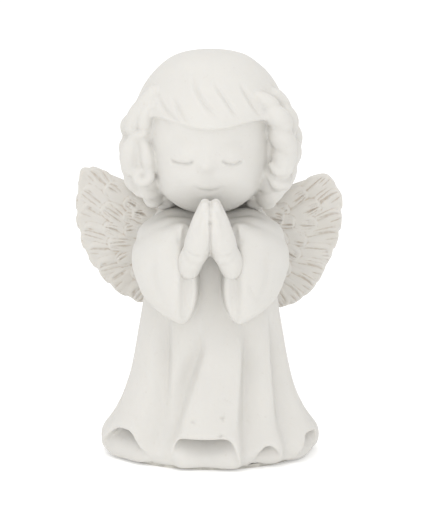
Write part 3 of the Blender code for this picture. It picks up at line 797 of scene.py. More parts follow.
# The sleeves' edges: height, then (x, y) round the right-hand one.
SLEEVE_RINGS = (
    (66.5, (6.6, -15.6), (7.0, -16.2), (7.4, -16.8), (8.0, -15.6), (8.5, -14.4), (8.4, -13),
     (7.6, -12.6), (6.9, -13.4)),
    (66.0, (5.9, -15.4), (6.6, -16.4), (7.3, -17.6), (9.0, -16.4), (11.4, -12.6), (11.0, -8), (8.4, -6),
     (6.2, -9)),
    (65.4, (5.5, -15.6), (6.6, -16.8), (7.6, -18.4), (10.6, -16.4), (15.6, -10.0), (15.6, -3.6),
     (11, 2), (5.6, -3)),
    (64.4, (5.2, -16.2), (6.7, -17.4), (8.0, -18.9), (12.4, -16.2), (17.6, -8.4), (17.2, -1), (12, 4), (5, -1)),
    (62.4, (4.9, -17.2), (6.8, -18.4), (8.5, -19.8), (13.8, -16.9), (18.9, -8.6), (18.4, 1), (12.4, 6),
     (4.6, 0)),
    (59.5, (4.3, -18.4), (6.8, -19.5), (8.8, -20.9), (14.6, -17.6), (20.0, -9), (19.2, 1), (13.6, 6.6), (4, 0)),
    (55, (3.6, -19.2), (6.6, -20.4), (9.0, -22.2), (15.0, -18.8), (20.6, -10), (19.4, 0), (14, 5), (4, 0)),
    (50, (3.3, -19.9), (6.6, -20.9), (9.0, -22.6), (14.4, -19.4), (19.4, -11), (17.8, -2), (13, 3), (4, -2)),
    (45, (4.1, -19.9), (6.8, -20.8), (8.9, -22.2), (12.8, -19.9), (16.6, -13), (14.6, -6), (10, -3), (4, -6)),
    (42, (5.3, -19.2), (6.8, -20.0), (8.3, -21.2), (10.6, -19.7), (12.4, -16.2), (10.8, -13), (8, -11),
     (5, -13)),
    (40.2, (6.2, -18.2), (6.9, -19.0), (7.4, -19.8), (8.1, -19.2), (8.6, -18), (7.8, -16.6), (7.2, -16),
     (6.4, -16.6)),
)  # fmt: skip


def apart(turn, angle):
    """Degrees from an angle, the short way round."""
    return (turn - angle + 180) % 360 - 180


def lopsided(turn, angle, left, right):
    """The distance from an angle as a share of the width on that side."""
    off = apart(turn, angle)
    return np.abs(off) / np.where(off < 0, left, right)


def hem_height(turn, lift_scale):
    height = np.full(np.shape(turn), HEM_LOW)
    for angle, left, right, lift, flat, _ in ARCHES:
        off = np.clip((lopsided(turn, angle, left, right) - flat) / (1 - flat), 0, 1)
        height = height + lift * lift_scale * 0.5 * (1 + np.cos(math.pi * off))
    return height


def robe_reach(turn, z, depth_scale):
    """How far the cloth stands from the axis, as half width and half depth at each angle and height."""
    levels, widths, depths = np.array(ROBE_PROFILE).T
    width, depth = eased(z, levels, widths), eased(z, levels, depths)
    fold = np.zeros(np.broadcast(turn, z).shape)
    for line, sink, left, right in VALLEYS:
        heights, angles = np.array(line, float).T
        angle = eased(z, heights, angles)
        fall = 1 - fade(z, heights[-1] - 8, heights[-1] + 10)
        fold = fold - sink * depth_scale * fall * bell(lopsided(turn, angle, left, right), 1)
    for angle, left, right, _, _, flare in ARCHES:
        fold = fold + flare * (1 - fade(z, 5, 24)) * bell(lopsided(turn, angle, left, right), 0.7)
    tall = fade(z, 8, 34)
    panel = fade(apart(turn, -21.5 + 13 * tall), 0, 5) * fade(-apart(turn, 17.5 + 8 * tall), 0, 3)
    fold = fold + 0.9 * panel * (1 - fade(z, 28, 44))
    drawn_in = FRONT_DRAWN_IN * (1 - fade(z, 4, 24)) * fade(np.cos(np.radians(turn)), -0.1, 0.7)
    return width + fold, depth - drawn_in + fold


def robe_ring(reach, inset, z):
    """A ring round the axis from half width and half depth, drawn in by an inset."""
    width, depth = reach
    turn = np.radians(ROUND_ROBE)
    return np.stack([(width - inset) * np.sin(turn), -(depth - inset) * np.cos(turn), 0 * turn + z], -1)


def robe_cloth(sizes):
    """The robe's outer cloth, with a wavy hem and its underside turned in."""
    hem = hem_height(ROUND_ROBE, sizes.hem_lift)
    lip = sizes.hem_thickness / MM
    top = ROBE_PROFILE[-1][0]

    def ring(z, inset):
        return robe_ring(robe_reach(ROUND_ROBE, z, sizes.pleat_depth), inset, z)

    rings = [ring(hem + rise, lip * share) for rise, share in ((5.0, 4.0), (5.0, 2.6), (1.0, 1.15))]
    for lean in np.radians(np.arange(0, 181, 22.5)):
        rings.append(ring(hem + lip / 2 * (1 - math.sin(lean)), lip / 2 * (1 + math.cos(lean))))
    for share in np.linspace(0, 1, 130)[1:]:
        rings.append(ring(hem + lip / 2 + (top - hem - lip / 2) * share**1.25, 0))
    return skin(rings)


def robe_foot(sizes):
    """The solid resin under the cloth, set back behind the hem, with a pocket for the felt."""
    back = FOOT_SET_BACK
    for angle, further, width in FOOT_HOLLOWS:
        back = back + further * bell(apart(ROUND_ROBE, angle), width)
    low, high = box_mm("base_felt_pad")
    felt = (high - low)[:2] / 2 + FELT_SPARE
    rings = [robe_ring(felt * share, 0, z) for share, z in ((0.5, POCKET_ROOF), (1, POCKET_ROOF), (1, 0.3))]
    for z, inset in FOOT_RINGS:
        level = np.full(len(ROUND_ROBE), max(z, 2.5))
        rings.append(robe_ring(robe_reach(ROUND_ROBE, level, sizes.pleat_depth), back + inset, z))
    return skin(rings)


def sleeve_form():
    rings = [round_ring([(x, y) for x, y in ring[1:]], 120) for ring in SLEEVE_RINGS]
    levels = -np.array([ring[0] for ring in SLEEVE_RINGS], float)
    fine = np.linspace(levels[0], levels[-1], 90)
    stack = np.stack(rings)
    walls = [eased(fine, levels, stack[:, i, k]) for i in range(120) for k in range(2)]
    walls = np.stack(walls, -1).reshape(len(fine), 120, 2)
    level = np.broadcast_to(-fine[:, None, None], (len(fine), 120, 1))
    slope = 0.2 * np.maximum(walls[..., :1] - 8, 0) + 0.12 * np.maximum(walls[..., 1:] + 15, 0)
    return skin(np.concatenate([walls, level - slope * fade(level, 56, 66)], -1))


def sculpt_robe(sizes):
    sleeve = sleeve_form()
    forms = [robe_cloth(sizes), robe_foot(sizes), sleeve, mirrored(sleeve)]
    for _, side in SIDES:
        forms += [rope([(side * x, *rest) for x, *rest in stations]) for stations in SHOULDERS]
    clay = Clay(forms, 0.46)
    clay.smooth(4)
    clay.smooth(24, clay.points[:, 2] < 12.5)
    clay.smooth(16, (clay.points[:, 2] > 60) & (clay.points[:, 1] > -15.5))
    return clay


def carve_robe(clay):
    for x, z, _ in PINHOLES:
        clay.swell((x, front_y(clay, x, z), z), (0.55, 2, 0.55), -0.5)
    clay.groove(((2.6, 18.6), (3.4, 19.6), (4.8, 18.9), (6.2, 18.4)), 0.4, 0.22, 0.1, ends=0.3, front=True)
    for _, side in SIDES:
        hollow = [(side * x, z) for x, z in ((14.6, 59), (15.4, 54), (14.2, 49), (11.6, 44.5))]
        clay.groove(hollow, 1.3, 0.45, 0.1, ends=0.3, front=True)
        clay.groove([(side * x, z) for x, z in ((8.6, 66.6), (8.2, 63.5), (7.6, 60.8))], 0.9, 0.5, 0, 0.3, True)
    clay.groove(((10.3, 53.5), (10.7, 50.0), (12.2, 47.8), (14.2, 46.4)), 0.9, 0.3, 0.25, ends=0.45, front=True)
    clay.groove(((3.3, 19.7), (4.2, 18.7), (5.2, 18.9), (6.2, 18.3)), 0.14, 0.2, 0, ends=0.1, front=True)
    for x, z, size in PINHOLES:
        clay.swell((x, front_y(clay, x, z), z), (size, 1, size), -0.45)


# ---- hands ---------------------------------------------------------------------------------------------

# One hand and forearm: (x, y, z, radius) up its middle.
FOREARM = ((5.6, -20.2, 55.6, 3.1), (5.3, -21.0, 56.8, 3.25), (4.7, -22.2, 58.6, 3.35), (4.0, -22.9, 59.9, 3.4))
PALM = ((3.7, -23.0, 60.4, 3.4), (3.1, -23.4, 62.8, 3.6), (2.6, -23.6, 66.0, 3.1), (2.0, -23.4, 69.6, 2.35),
        (1.5, -23.0, 71.8, 1.75))  # fmt: skip
# Fingers from the little one, in front, to the index, behind: root, bend and tip, then radii.
FINGERS = (
    ((2.4, -25.8, 62.6), (1.6, -26.2, 67.0), (1.0, -25.9, 70.4), 2.3, 1.9, 1.25),
    ((2.6, -24.8, 64.0), (2.0, -25.0, 69.0), (1.35, -24.5, 72.8), 2.0, 1.7, 1.25),
    ((2.5, -23.0, 64.0), (2.0, -23.2, 69.6), (1.4, -22.9, 73.1), 2.0, 1.7, 1.3),
    ((2.5, -21.2, 63.0), (1.9, -21.5, 68.6), (1.35, -21.4, 72.0), 2.0, 1.6, 1.2),
)
THUMB = ((3.0, -19.8, 60.5, 1.8), (2.4, -19.4, 64.0, 1.5), (1.5, -19.2, 67.2, 1.2))
# Resin that fills the seam between the two hands.
BETWEEN_HANDS = ((0, -22.8, 61.0, 1.9), (0, -24.2, 63, 2.9), (0, -25.1, 66, 2.9), (0, -25.2, 69.2, 2.1),
                 (0, -23.6, 72.6, 1.2))  # fmt: skip


def sculpt_hands(sizes):
    plump = sizes.finger_plumpness
    one = [rope(FOREARM), rope(PALM, 1.25), rope(THUMB)]
    for *places, root, middle, tip in FINGERS:
        stations = [(*place, plump * size) for place, size in zip(places, (root, middle, tip))]
        one.append(rope(stations))
    forms = one + [mirrored(form) for form in one]
    forms.append(rope(BETWEEN_HANDS))
    clay = Clay(forms, 0.22)
    clay.smooth(12)
    for _, side in SIDES:
        wrist = [(side * x, z) for x, z in ((6.9, 62.2), (5.2, 60.7), (3.2, 60.2), (1.2, 60.8))]
        clay.groove(wrist, 0.4, 0.22, 0.15, ends=0.35, front=True)
    clay.groove(((0, 58.0), (0, 61), (0, 66), (0, 69.5)), 0.3, 0.7, 0, 0.12, True)
    clay.groove(((0, 68.0), (0, 71), (0, 75.5)), 0.3, 0.35, 0, 0.05, True)
    return clay


# ---- wings ---------------------------------------------------------------------------------------------

WING_Y = 15.4
WING_ROOT_X = 9.0
INNER_FROM = 1.7  # feathers that stand this far out are the inner kinds
KINDS = 4  # of outer feathers, and as many of inner ones
ROOT_LEAN = math.radians(28)  # how far the wing's seat on the back turns away from straight back
# One wing's feathers: tip (x, z), direction in degrees, length, width, half thickness. Later rows lie on top.
LEFT_FEATHERS = (
    (34.3, 73.8, 44, 15, 9.4, 1.2), (35.9, 68.4, 36, 14, 9.0, 1.25), (36.3, 62.8, 24, 14, 9.0, 1.2),
    (35.5, 56.9, 12, 14, 8.8, 1.25), (33.6, 51.3, 0, 13.5, 8.6, 1.2), (30.7, 46.2, -19, 13, 8.4, 1.25),
    (26.6, 41.6, -38, 12.5, 8.2, 1.2), (20.9, 38.4, -52, 12, 8.2, 1.25),
    (28.9, 70.6, 36, 12, 7.4, 1.9), (29.8, 64.9, 32, 12, 7.2, 2.15), (29.6, 59.2, 18, 12, 7.0, 1.9),
    (28.4, 54.2, -6, 11.5, 6.6, 2.15), (25.9, 49.2, -28, 11, 6.6, 1.9), (21.3, 44.8, -48, 10.5, 6.6, 1.9),
    (23.6, 67.0, 32, 10.5, 6.0, 2.8), (24.2, 62.6, 10, 10.5, 5.2, 2.8), (23.9, 58.2, -6, 10, 5.8, 3.0),
    (20.6, 53.4, -35, 10, 5.8, 2.75), (21.6, 64.0, 14, 10, 6.2, 3.7),
)  # fmt: skip
RIGHT_FEATHERS = (
    (32.8, 72.6, 40, 15, 8.0, 1.25), (35.8, 67.8, 30, 14, 7.6, 1.3), (36.1, 61.6, 14, 14, 8.0, 1.3),
    (35.2, 56.0, 2, 14, 7.4, 1.3), (33.4, 50.8, -8, 13.5, 7.4, 1.3), (31.1, 45.6, -22, 13, 7.2, 1.3),
    (27.9, 41.1, -40, 12.5, 7.0, 1.3), (24.2, 38.1, -50, 12, 6.6, 1.3), (20.2, 36.4, -58, 11.5, 6.6, 1.3),
    (26.2, 69.4, 36, 12, 7.2, 1.9), (30.2, 65.6, 24, 12.5, 6.4, 2.15), (29.4, 59.9, -2, 12, 6.8, 1.9),
    (26.6, 55.0, -16, 11.5, 6.6, 2.15), (24.6, 50.4, -34, 11, 6.4, 1.9), (21.2, 45.4, -54, 10.5, 6.6, 1.9),
    (21.4, 65.2, 30, 10.5, 6.0, 2.8), (23.3, 60.6, -6, 10.5, 7.0, 2.8), (21.0, 54.4, -38, 10, 6.0, 3.0),
    (20.4, 62.0, -12, 10, 7.2, 3.7),
)  # fmt: skip
# Deep scores near the hair, by side.
WING_SCORES = {
    -1: (((-23.4, 71.4), (-20, 70.2), (-16.6, 68.6), (-13, 66.4)), ((-27.6, 64.6), (-25.4, 65.6), (-23.6, 66.6))),
    1: (
        ((19.4, 70.2), (16, 68.8), (12.4, 66.8)),
        ((21.5, 61.2), (23.6, 62.4), (25.6, 63.4)),
        ((25.9, 65.0), (26.2, 65.1)),
    ),
}
# The wings' outlines, from the front edge round to the root.
LEFT_OUTLINE = (
    (18.0, 69.6), (24.3, 72.4), (29.7, 74.4), (33.2, 75.3), (35.4, 74.9), (36.1, 71.8), (36.5, 66.6),
     (36.6, 61.0),
    (35.6, 56.4), (34.4, 52.0), (32.6, 49.0), (30.6, 46.2), (27.9, 43.0), (25.0, 40.7), (21.6, 38.9),
     (18.6, 38.6),
    (14.0, 43.0), (10.0, 50.0), (9.0, 60.0), (12.0, 67.0),
)  # fmt: skip
RIGHT_OUTLINE = (
    (17.0, 69.0), (22.4, 71.0), (26.2, 72.2), (30.3, 73.1), (32.4, 72.5), (33.8, 71.0), (35.3, 68.6),
     (35.8, 65.6),
    (35.6, 61.0), (35.2, 57.4), (34.2, 54.2), (33.4, 51.6), (31.8, 48.8), (30.4, 45.6), (28.6, 42.2),
     (26.0, 40.0),
    (23.4, 38.2), (20.4, 37.3), (18.6, 37.4), (14.0, 43.0), (10.0, 50.0), (9.0, 60.0), (12.0, 67.0),
)  # fmt: skip


def carved_feather(name, barb_depth, seed, blunt):
    """A feather one unit long and one wide along +X, with barbs scored into both faces. It narrows to its tip from
    the share of its length called blunt."""
    rng = np.random.default_rng(seed)
    columns, barbs = 41, 6
    along = np.concatenate([np.linspace(0, 0.8, 22), 0.8 + 0.2 * np.sin(np.linspace(0, math.pi / 2, 12))[1:-1]])
    across = np.linspace(-1, 1, columns)
    half = 0.5 * (0.62 + 0.38 * fade(along, 0, 0.65))
    narrowing = np.sqrt(np.maximum(1 - (np.maximum(along - blunt, 0) / (1 - blunt)) ** 2, 0.004))
    half = half * narrowing ** (0.6 if blunt > 0.7 else 0.9)
    crown = np.clip(1 - np.abs(across) ** 5, 0, 1) ** 0.55
    thin = np.where(along > 0.92, np.sqrt(np.maximum(1 - ((along - 0.92) / 0.081) ** 2, 0.02)), 1)
    rings = []
    scores = rng.permutation(np.linspace(-0.76, 0.76, barbs + 1))[:barbs] + rng.normal(0, 0.05, barbs)
    starts, drift = rng.uniform(0.3, 0.72, barbs), rng.uniform(-0.35, 0.35, barbs)
    ends = rng.uniform(0.76, 1.1, barbs)
    for x, width, thickness in zip(along, half, thin):
        relief = np.zeros(columns)
        for score, start, wander, end in zip(scores, starts, drift, ends):
            middle = score * (0.55 + 0.45 * x) + wander * (x - 0.5)
            relief += fade(x, start, start + 0.2) * (1 - fade(x, end, end + 0.12)) * bell(across - middle, 0.06)
        height = crown * thickness * (1 - barb_depth * np.minimum(relief, 1.2))
        upper = np.stack([np.full(columns, x), -height, across * width], -1)
        lower = np.stack([np.full(columns, x), height, across * width], -1)[::-1]
        rings.append(np.concatenate([upper, lower[1:-1]]))
    points, quads = skin(rings)
    return bpy.data.objects.new(name, mesh_of(name, points, quads))


def feather_tree():
    """Geometry nodes that lay one carved feather on each point of a table."""
    tree = bpy.data.node_groups.new("feathers_on_wing", "GeometryNodeTree")
    for label, kind, default in (
        ("Table", "NodeSocketGeometry", None),
        ("Feathers", "NodeSocketCollection", None),
        ("Lean", "NodeSocketFloat", 0.12),
        ("Variation", "NodeSocketFloat", 0.04),
        ("Seed", "NodeSocketInt", 5),
        ("Resin", "NodeSocketMaterial", None),
    ):
        socket = tree.interface.new_socket(label, in_out="INPUT", socket_type=kind)
        if default is not None:
            socket.default_value = default
    tree.interface.new_socket("Wing", in_out="OUTPUT", socket_type="NodeSocketGeometry")
    nodes, links = tree.nodes, tree.links
    given = nodes.new("NodeGroupInput").outputs
    made = nodes.new("NodeGroupOutput").inputs

    def named(name, kind="FLOAT"):
        node = nodes.new("GeometryNodeInputNamedAttribute")
        node.data_type = kind
        node.inputs["Name"].default_value = name
        return node.outputs["Attribute"]

    def fed(kind, *values, operation=None):
        node = nodes.new(kind)
        if operation:
            node.operation = operation
        for socket, value in zip(node.inputs, values):
            plug(links, socket, value)
        return node.outputs[0]

    def maths(operation, a, b):
        return fed("ShaderNodeMath", a, b, operation=operation)

    def vector(x, y, z):
        return fed("ShaderNodeCombineXYZ", x, y, z)

    chance = nodes.new("FunctionNodeRandomValue")
    chance.data_type = "FLOAT"
    chance.inputs[2].default_value = -1.0
    chance.inputs[3].default_value = 1.0
    links.new(given["Seed"], chance.inputs["Seed"])
    wander = maths("MULTIPLY", chance.outputs[1], given["Variation"])
    stretch = maths("ADD", 1.0, wander)
    kinds = nodes.new("GeometryNodeCollectionInfo")
    links.new(given["Feathers"], kinds.inputs["Collection"])
    kinds.inputs["Separate Children"].default_value = True
    kinds.inputs["Reset Children"].default_value = True
    lay = nodes.new("GeometryNodeInstanceOnPoints")
    links.new(given["Table"], lay.inputs["Points"])
    links.new(kinds.outputs["Instances"], lay.inputs["Instance"])
    lay.inputs["Pick Instance"].default_value = True
    links.new(named("kind", "INT"), lay.inputs["Instance Index"])
    turn = nodes.new("FunctionNodeEulerToRotation")
    links.new(vector(given["Lean"], maths("MULTIPLY", named("turn"), -1.0), 0.0), turn.inputs[0])
    links.new(turn.outputs[0], lay.inputs["Rotation"])
    size = vector(named("length"), named("stand"), maths("MULTIPLY", named("breadth"), stretch))
    links.new(size, lay.inputs["Scale"])
    whole = nodes.new("GeometryNodeRealizeInstances")
    links.new(lay.outputs["Instances"], whole.inputs["Geometry"])
    paint = nodes.new("GeometryNodeSetMaterial")
    links.new(whole.outputs["Geometry"], paint.inputs["Geometry"])
    links.new(given["Resin"], paint.inputs["Material"])
    links.new(paint.outputs["Geometry"], made["Wing"])
    return tree


def laid_feathers(table, side, sizes, material, tree, kinds):
    """The feathers of one wing as one plain form, each on its own place in the table."""
    mesh = bpy.data.meshes.new("feather_table")
    roots, turns = [], []
    for tip_x, tip_z, direction, length, _, _ in table:
        angle = math.radians(direction)
        root = (tip_x - length * math.cos(angle), 0.0, tip_z - length * math.sin(angle))
        roots.append((side * root[0], root[1], root[2]))
        turns.append(angle if side > 0 else math.pi - angle)
    mesh.from_pydata(roots, [], [])
    lengths, breadths, stands = list(zip(*table))[3:]
    columns = {"turn": turns, "length": lengths, "breadth": breadths, "stand": stands}
    for key, values in columns.items():
        mesh.attributes.new(key, "FLOAT", "POINT").data.foreach_set("value", np.array(values, np.float32))
    order = [(2 * i + (side > 0)) % KINDS if i % 2 else (i + 1) % KINDS for i in range(len(table))]
    order = np.array(order, np.int32) + KINDS * (np.array(stands) > INNER_FROM).astype(np.int32)
    mesh.attributes.new("kind", "INT", "POINT").data.foreach_set("value", order)
    blank = bpy.data.objects.new("feather_table", mesh)
    bpy.context.scene.collection.objects.link(blank)
    lay = blank.modifiers.new("feathers", "NODES")
    lay.node_group = tree
    sockets = {item.name: item.identifier for item in tree.interface.items_tree if item.item_type == "SOCKET"}
    values = {
        "Feathers": kinds,
        "Lean": side * sizes.feather_lean,
        "Variation": sizes.feather_variation,
        "Seed": sizes.feather_seed + (side > 0),
        "Resin": material,
    }
    for key, value in values.items():
        lay[sockets[key]] = value
    mesh = shown_mesh(blank)
    points, quads, _ = read(mesh)
    bpy.data.meshes.remove(mesh)
    return points, quads


def wing_blank(outline, side):
    """The smooth plate behind the feathers, which gives the wing its outline."""
    outline = round_ring(outline, 240) * (side, 1)
    middle = outline.mean(0)
    rings = []
    for y, share in ((-1.0, 0.93), (-0.9, 0.96), (-0.6, 0.985), (0, 0.99), (0.6, 0.985), (0.9, 0.96), (1.0, 0.93)):
        ring = middle + (outline - middle) * share
        rings.append(np.stack([ring[:, 0], np.full(len(ring), y), ring[:, 1]], -1))
    return skin(rings)


def held_inside(points, outline, side, spare):
    """The points drawn in wherever they stand further out than the outline and a little to spare."""
    spokes = np.array(outline, float) * (side, 1)
    middle = spokes.mean(0)
    spokes = round_ring(spokes, 240) - middle
    angles, reach = np.arctan2(spokes[:, 1], spokes[:, 0]), np.hypot(*spokes.T)
    order = np.argsort(angles)
    off = points[:, (0, 2)] - middle
    limit = np.interp(np.arctan2(off[:, 1], off[:, 0]), angles[order], reach[order], period=2 * math.pi) + spare
    share = np.minimum(1, limit / np.maximum(np.hypot(*off.T), 1e-6))
    held = points.copy()
    held[:, (0, 2)] = middle + off * share[:, None]
    return held


def sculpt_wing(side, table, outline, sizes, material, tree, kinds):
    feathers = laid_feathers(table, side, sizes, material, tree, kinds)
    forms = [(held_inside(feathers[0], outline, side, 0.4), feathers[1]), wing_blank(outline, side)]
    sweep = math.tan(sizes.wing_sweep)
    bent = []
    for points, quads in forms:
        out = np.abs(points[:, 0]) - WING_ROOT_X
        bent.append((points + np.stack([0 * out, WING_Y + sweep * out, 0 * out], -1), quads))
    low, high = box_mm(f"{'left' if side < 0 else 'right'}_wing_glue_bed")
    out = np.array([side * math.sin(ROOT_LEAN), math.cos(ROOT_LEAN), 0])
    seat = (low + high) / 2 + out * 1.1
    tip = np.array([side * 14.5, WING_Y + 0.4, 59.0])
    root = [(*(seat + (tip - seat) * share), size) for share, size in ((0, 3.0), (0.5, 3.2), (1, 2.6))]
    roots = [[(*(np.array(place[:3]) + (0, 0, up)), place[3]) for place in root] for up in (-6, -4, -2, 0, 2, 4)]
    forms = bent + [rope(stations) for stations in roots]
    clay = Clay(forms, 0.21)
    buried = (clay.points - seat) @ out
    clay.points = clay.points - out * np.minimum(buried + 1.0, 0)[:, None]
    clay.smooth(1)
    for line in WING_SCORES[side]:
        clay.groove(line, 0.42, 0.8, 0.1, ends=0.2, front=True)
    return clay


# ---- joints --------------------------------------------------------------------------------------------

GLUE_BED_HALVES = (3.7, 0.62, 8.7)
NECK_GLUE_RING = (4.4, 1.3)  # radius of the ring and of the bead


def glue_bed(side, name):
    """The lumpy pad of glue between a wing's root and the back of the robe."""
    low, high = box_mm(name)
    lean = ROOT_LEAN * side
    ways = np.array([[math.cos(lean), -math.sin(lean), 0], [math.sin(lean), math.cos(lean), 0], [0, 0, 1]])
    clay = Clay([ball((0, 0, 0), GLUE_BED_HALVES, 60, 90)], 0.2)
    clay.push(0.16 * ripple(clay.points, 2.2, 31 + side))
    clay.smooth(2)
    clay.points = clay.points @ ways + (low + high) / 2
    return clay


def neck_glue():
    """The flattened ring of glue round the dowel."""
    low, high = box_mm("neck_glue_ring")
    clay = Clay([ring_curl((low + high) / 2, *NECK_GLUE_RING, (0, 0, 1))], 0.2)
    clay.push(0.2 * ripple(clay.points, 2.0, 17))
    clay.points[:, 2] = np.clip(clay.points[:, 2], low[2] - 0.2, high[2] + 0.2)
    clay.smooth(2)
    return clay


# ---- settings ------------------------------------------------------------------------------------------


def length(name, description, default):
    return bpy.props.FloatProperty(
        name=name, description=description, default=default, min=0.0, unit="LENGTH", subtype="DISTANCE", precision=5
    )


def colour(name, description, default):
    return bpy.props.FloatVectorProperty(
        name=name, description=description, default=default, size=3, min=0.0, max=1.0, subtype="COLOR"
    )


def share(name, description, default):
    return bpy.props.FloatProperty(
        name=name, description=description, default=default, min=0.0, max=4.0, subtype="FACTOR"
    )


def turn(name, description, default):
    return bpy.props.FloatProperty(name=name, description=description, default=default, subtype="ANGLE")


def power(name, description, default):
    return bpy.props.FloatProperty(name=name, description=description, default=default, unit="POWER")


class HeadSizes(bpy.types.PropertyGroup):
    fringe_thickness: length("Fringe Thickness", "How far the fringe stands out over the brow", 0.0016)
    strand_depth: length("Strand Depth", "Depth of the grooves between locks of hair", 0.0003)
    ringlet_radius: length("Ringlet Radius", "Radius of the ringlets at the sides and back", 0.0046)
    nose_height: length("Nose Height", "How far the button nose stands out", 0.0015)
    lash_depth: length("Lash Depth", "Depth of the lines of the closed eyes", 0.0009)


class RobeSizes(bpy.types.PropertyGroup):
    pleat_depth: share("Pleat Depth", "Depth of the valleys between pleats", 1.0)
    hem_lift: share("Hem Lift", "Height of the hem's arches", 1.0)
    hem_thickness: length("Hem Thickness", "Thickness of the cloth at the hem", 0.0017)


class HandSizes(bpy.types.PropertyGroup):
    finger_plumpness: share("Finger Plumpness", "Thickness of the fingers", 1.0)


class WingSizes(bpy.types.PropertyGroup):
    wing_sweep: turn("Wing Sweep", "How far the wings turn back", math.radians(8))
    barb_depth: share("Barb Depth", "Depth of the barbs scored into each feather", 0.5)
    feather_lean: turn("Feather Lean", "Turn of each feather about its length", 0.10)
    feather_variation: share("Feather Variation", "Unevenness of the feathers' breadth", 0.04)
    feather_seed: bpy.props.IntProperty(name="Feather Seed", description="Seed of the unevenness", default=5)


class Finishes(bpy.types.PropertyGroup):
    body_resin: colour("Body Resin", "Colour of the cast resin", (0.622, 0.607, 0.575))
    # Body shade is the cloudier tone of the resin and also the painted shade laid into its broad hollows.
    body_cloud_and_painted_shade: colour("Body Shade", "Cloudier colour in the resin", (0.595, 0.580, 0.550))
    wing_resin: colour("Wing Resin", "Colour of the wings' resin", (0.600, 0.580, 0.545))
    # Wing shade is the cloudier tone of the wings and also the painted shade laid into their broad hollows.
    wing_cloud_and_painted_shade: colour("Wing Shade", "Cloudier colour in the wings", (0.545, 0.522, 0.478))
    # Grime colours the specks, and darkens the creases, partly as grime and partly as painted shade.
    grime_and_crease_shade: colour("Grime", "Colour of the grime in creases", (0.36, 0.27, 0.19))
    glue: colour("Glue", "Colour of the cured glue", (0.25, 0.205, 0.15))
    glue_stain: colour("Glue Stain", "Darker stain in the glue", (0.13, 0.09, 0.055))
    steel: colour("Steel", "Colour of the dowel and pins", (0.55, 0.55, 0.56))
    felt: colour("Felt", "Colour of the pad under the foot", (0.60, 0.58, 0.53))


class StageSettings(bpy.types.PropertyGroup):
    floor: colour("Floor", "Colour of the floor", (0.92, 0.92, 0.915))
    sky: share("Sky", "Strength of the even light", 1.0)
    overhead_power: power("Overhead Power", "Power of the overhead softbox", 1.3)
    front_power: power("Front Power", "Power of the front softbox", 1.4)
    distance: length("Camera Distance", "From the camera to the figurine", 0.7)
    elevation: turn("Camera Elevation", "How far above the level the camera stands", math.radians(12))
    lens: bpy.props.FloatProperty(name="Lens", description="Focal length in millimetres", default=180.8)


class FigurineSettings(bpy.types.PropertyGroup):
    head: bpy.props.PointerProperty(type=HeadSizes)
    robe: bpy.props.PointerProperty(type=RobeSizes)
    hands: bpy.props.PointerProperty(type=HandSizes)
    wings: bpy.props.PointerProperty(type=WingSizes)
    finishes: bpy.props.PointerProperty(type=Finishes)
    stage: bpy.props.PointerProperty(type=StageSettings)


# ---- operators -----------------------------------------------------------------------------------------

# Name, place and side of each softbox, in metres.
SOFTBOXES = (("overhead_softbox", (-0.10, -0.20, 0.75), 0.4), ("front_softbox", (-0.05, -0.80, 0.12), 0.5))
CAMERA_AIM = (1.07, 53.2)  # the point that the camera faces: how far to the right of the axis, and its height


def body_resin(finishes):
    found = bpy.data.materials.get("body_resin")
    if found is not None:
        return found
    colours = (tuple(finishes.body_resin), tuple(finishes.body_cloud_and_painted_shade), tuple(finishes.grime_and_crease_shade))
    return cast_resin("body_resin", *colours, *BODY_CREASE_GRIME_AND_SHADE)


def glue_finish(finishes):
    found = bpy.data.materials.get("cured_glue")
    return found or cured_glue("cured_glue", tuple(finishes.glue), tuple(finishes.glue_stain))


class FIGURINE_OT_head(bpy.types.Operator):
    """Sculpts the head with its fringe, ringlets and closed eyes"""

    bl_idname = "figurine.head"
    bl_label = "Head and Hair"

    def execute(self, context):
        settings = context.scene.figurine
        clay = sculpt_head(settings.head)
        carve_hair(clay, settings.head.strand_depth / MM)
        carve_face(clay, settings.head)
        clay.smooth(1)
        clay.lay_down("head_and_hair", body_resin(settings.finishes), "head_casting", "cast_resin")
        return {"FINISHED"}


class FIGURINE_OT_robe(bpy.types.Operator):
    """Sculpts the robe with its sleeves, pleats and wavy hem"""

    bl_idname = "figurine.robe"
    bl_label = "Robe and Sleeves"

    def execute(self, context):
        settings = context.scene.figurine
        clay = sculpt_robe(settings.robe)
        carve_robe(clay)
        clay.smooth(1)
        clay.lay_down("robe_and_sleeves", body_resin(settings.finishes), "robe_casting", "cast_resin")
        return {"FINISHED"}


class FIGURINE_OT_hands(bpy.types.Operator):
    """Sculpts the two hands pressed together, with their forearms"""

    bl_idname = "figurine.hands"
    bl_label = "Praying Hands"

    def execute(self, context):
        settings = context.scene.figurine
        clay = sculpt_hands(settings.hands)
        clay.lay_down("praying_hands", body_resin(settings.finishes), "hands_casting", "cast_resin")
        return {"FINISHED"}


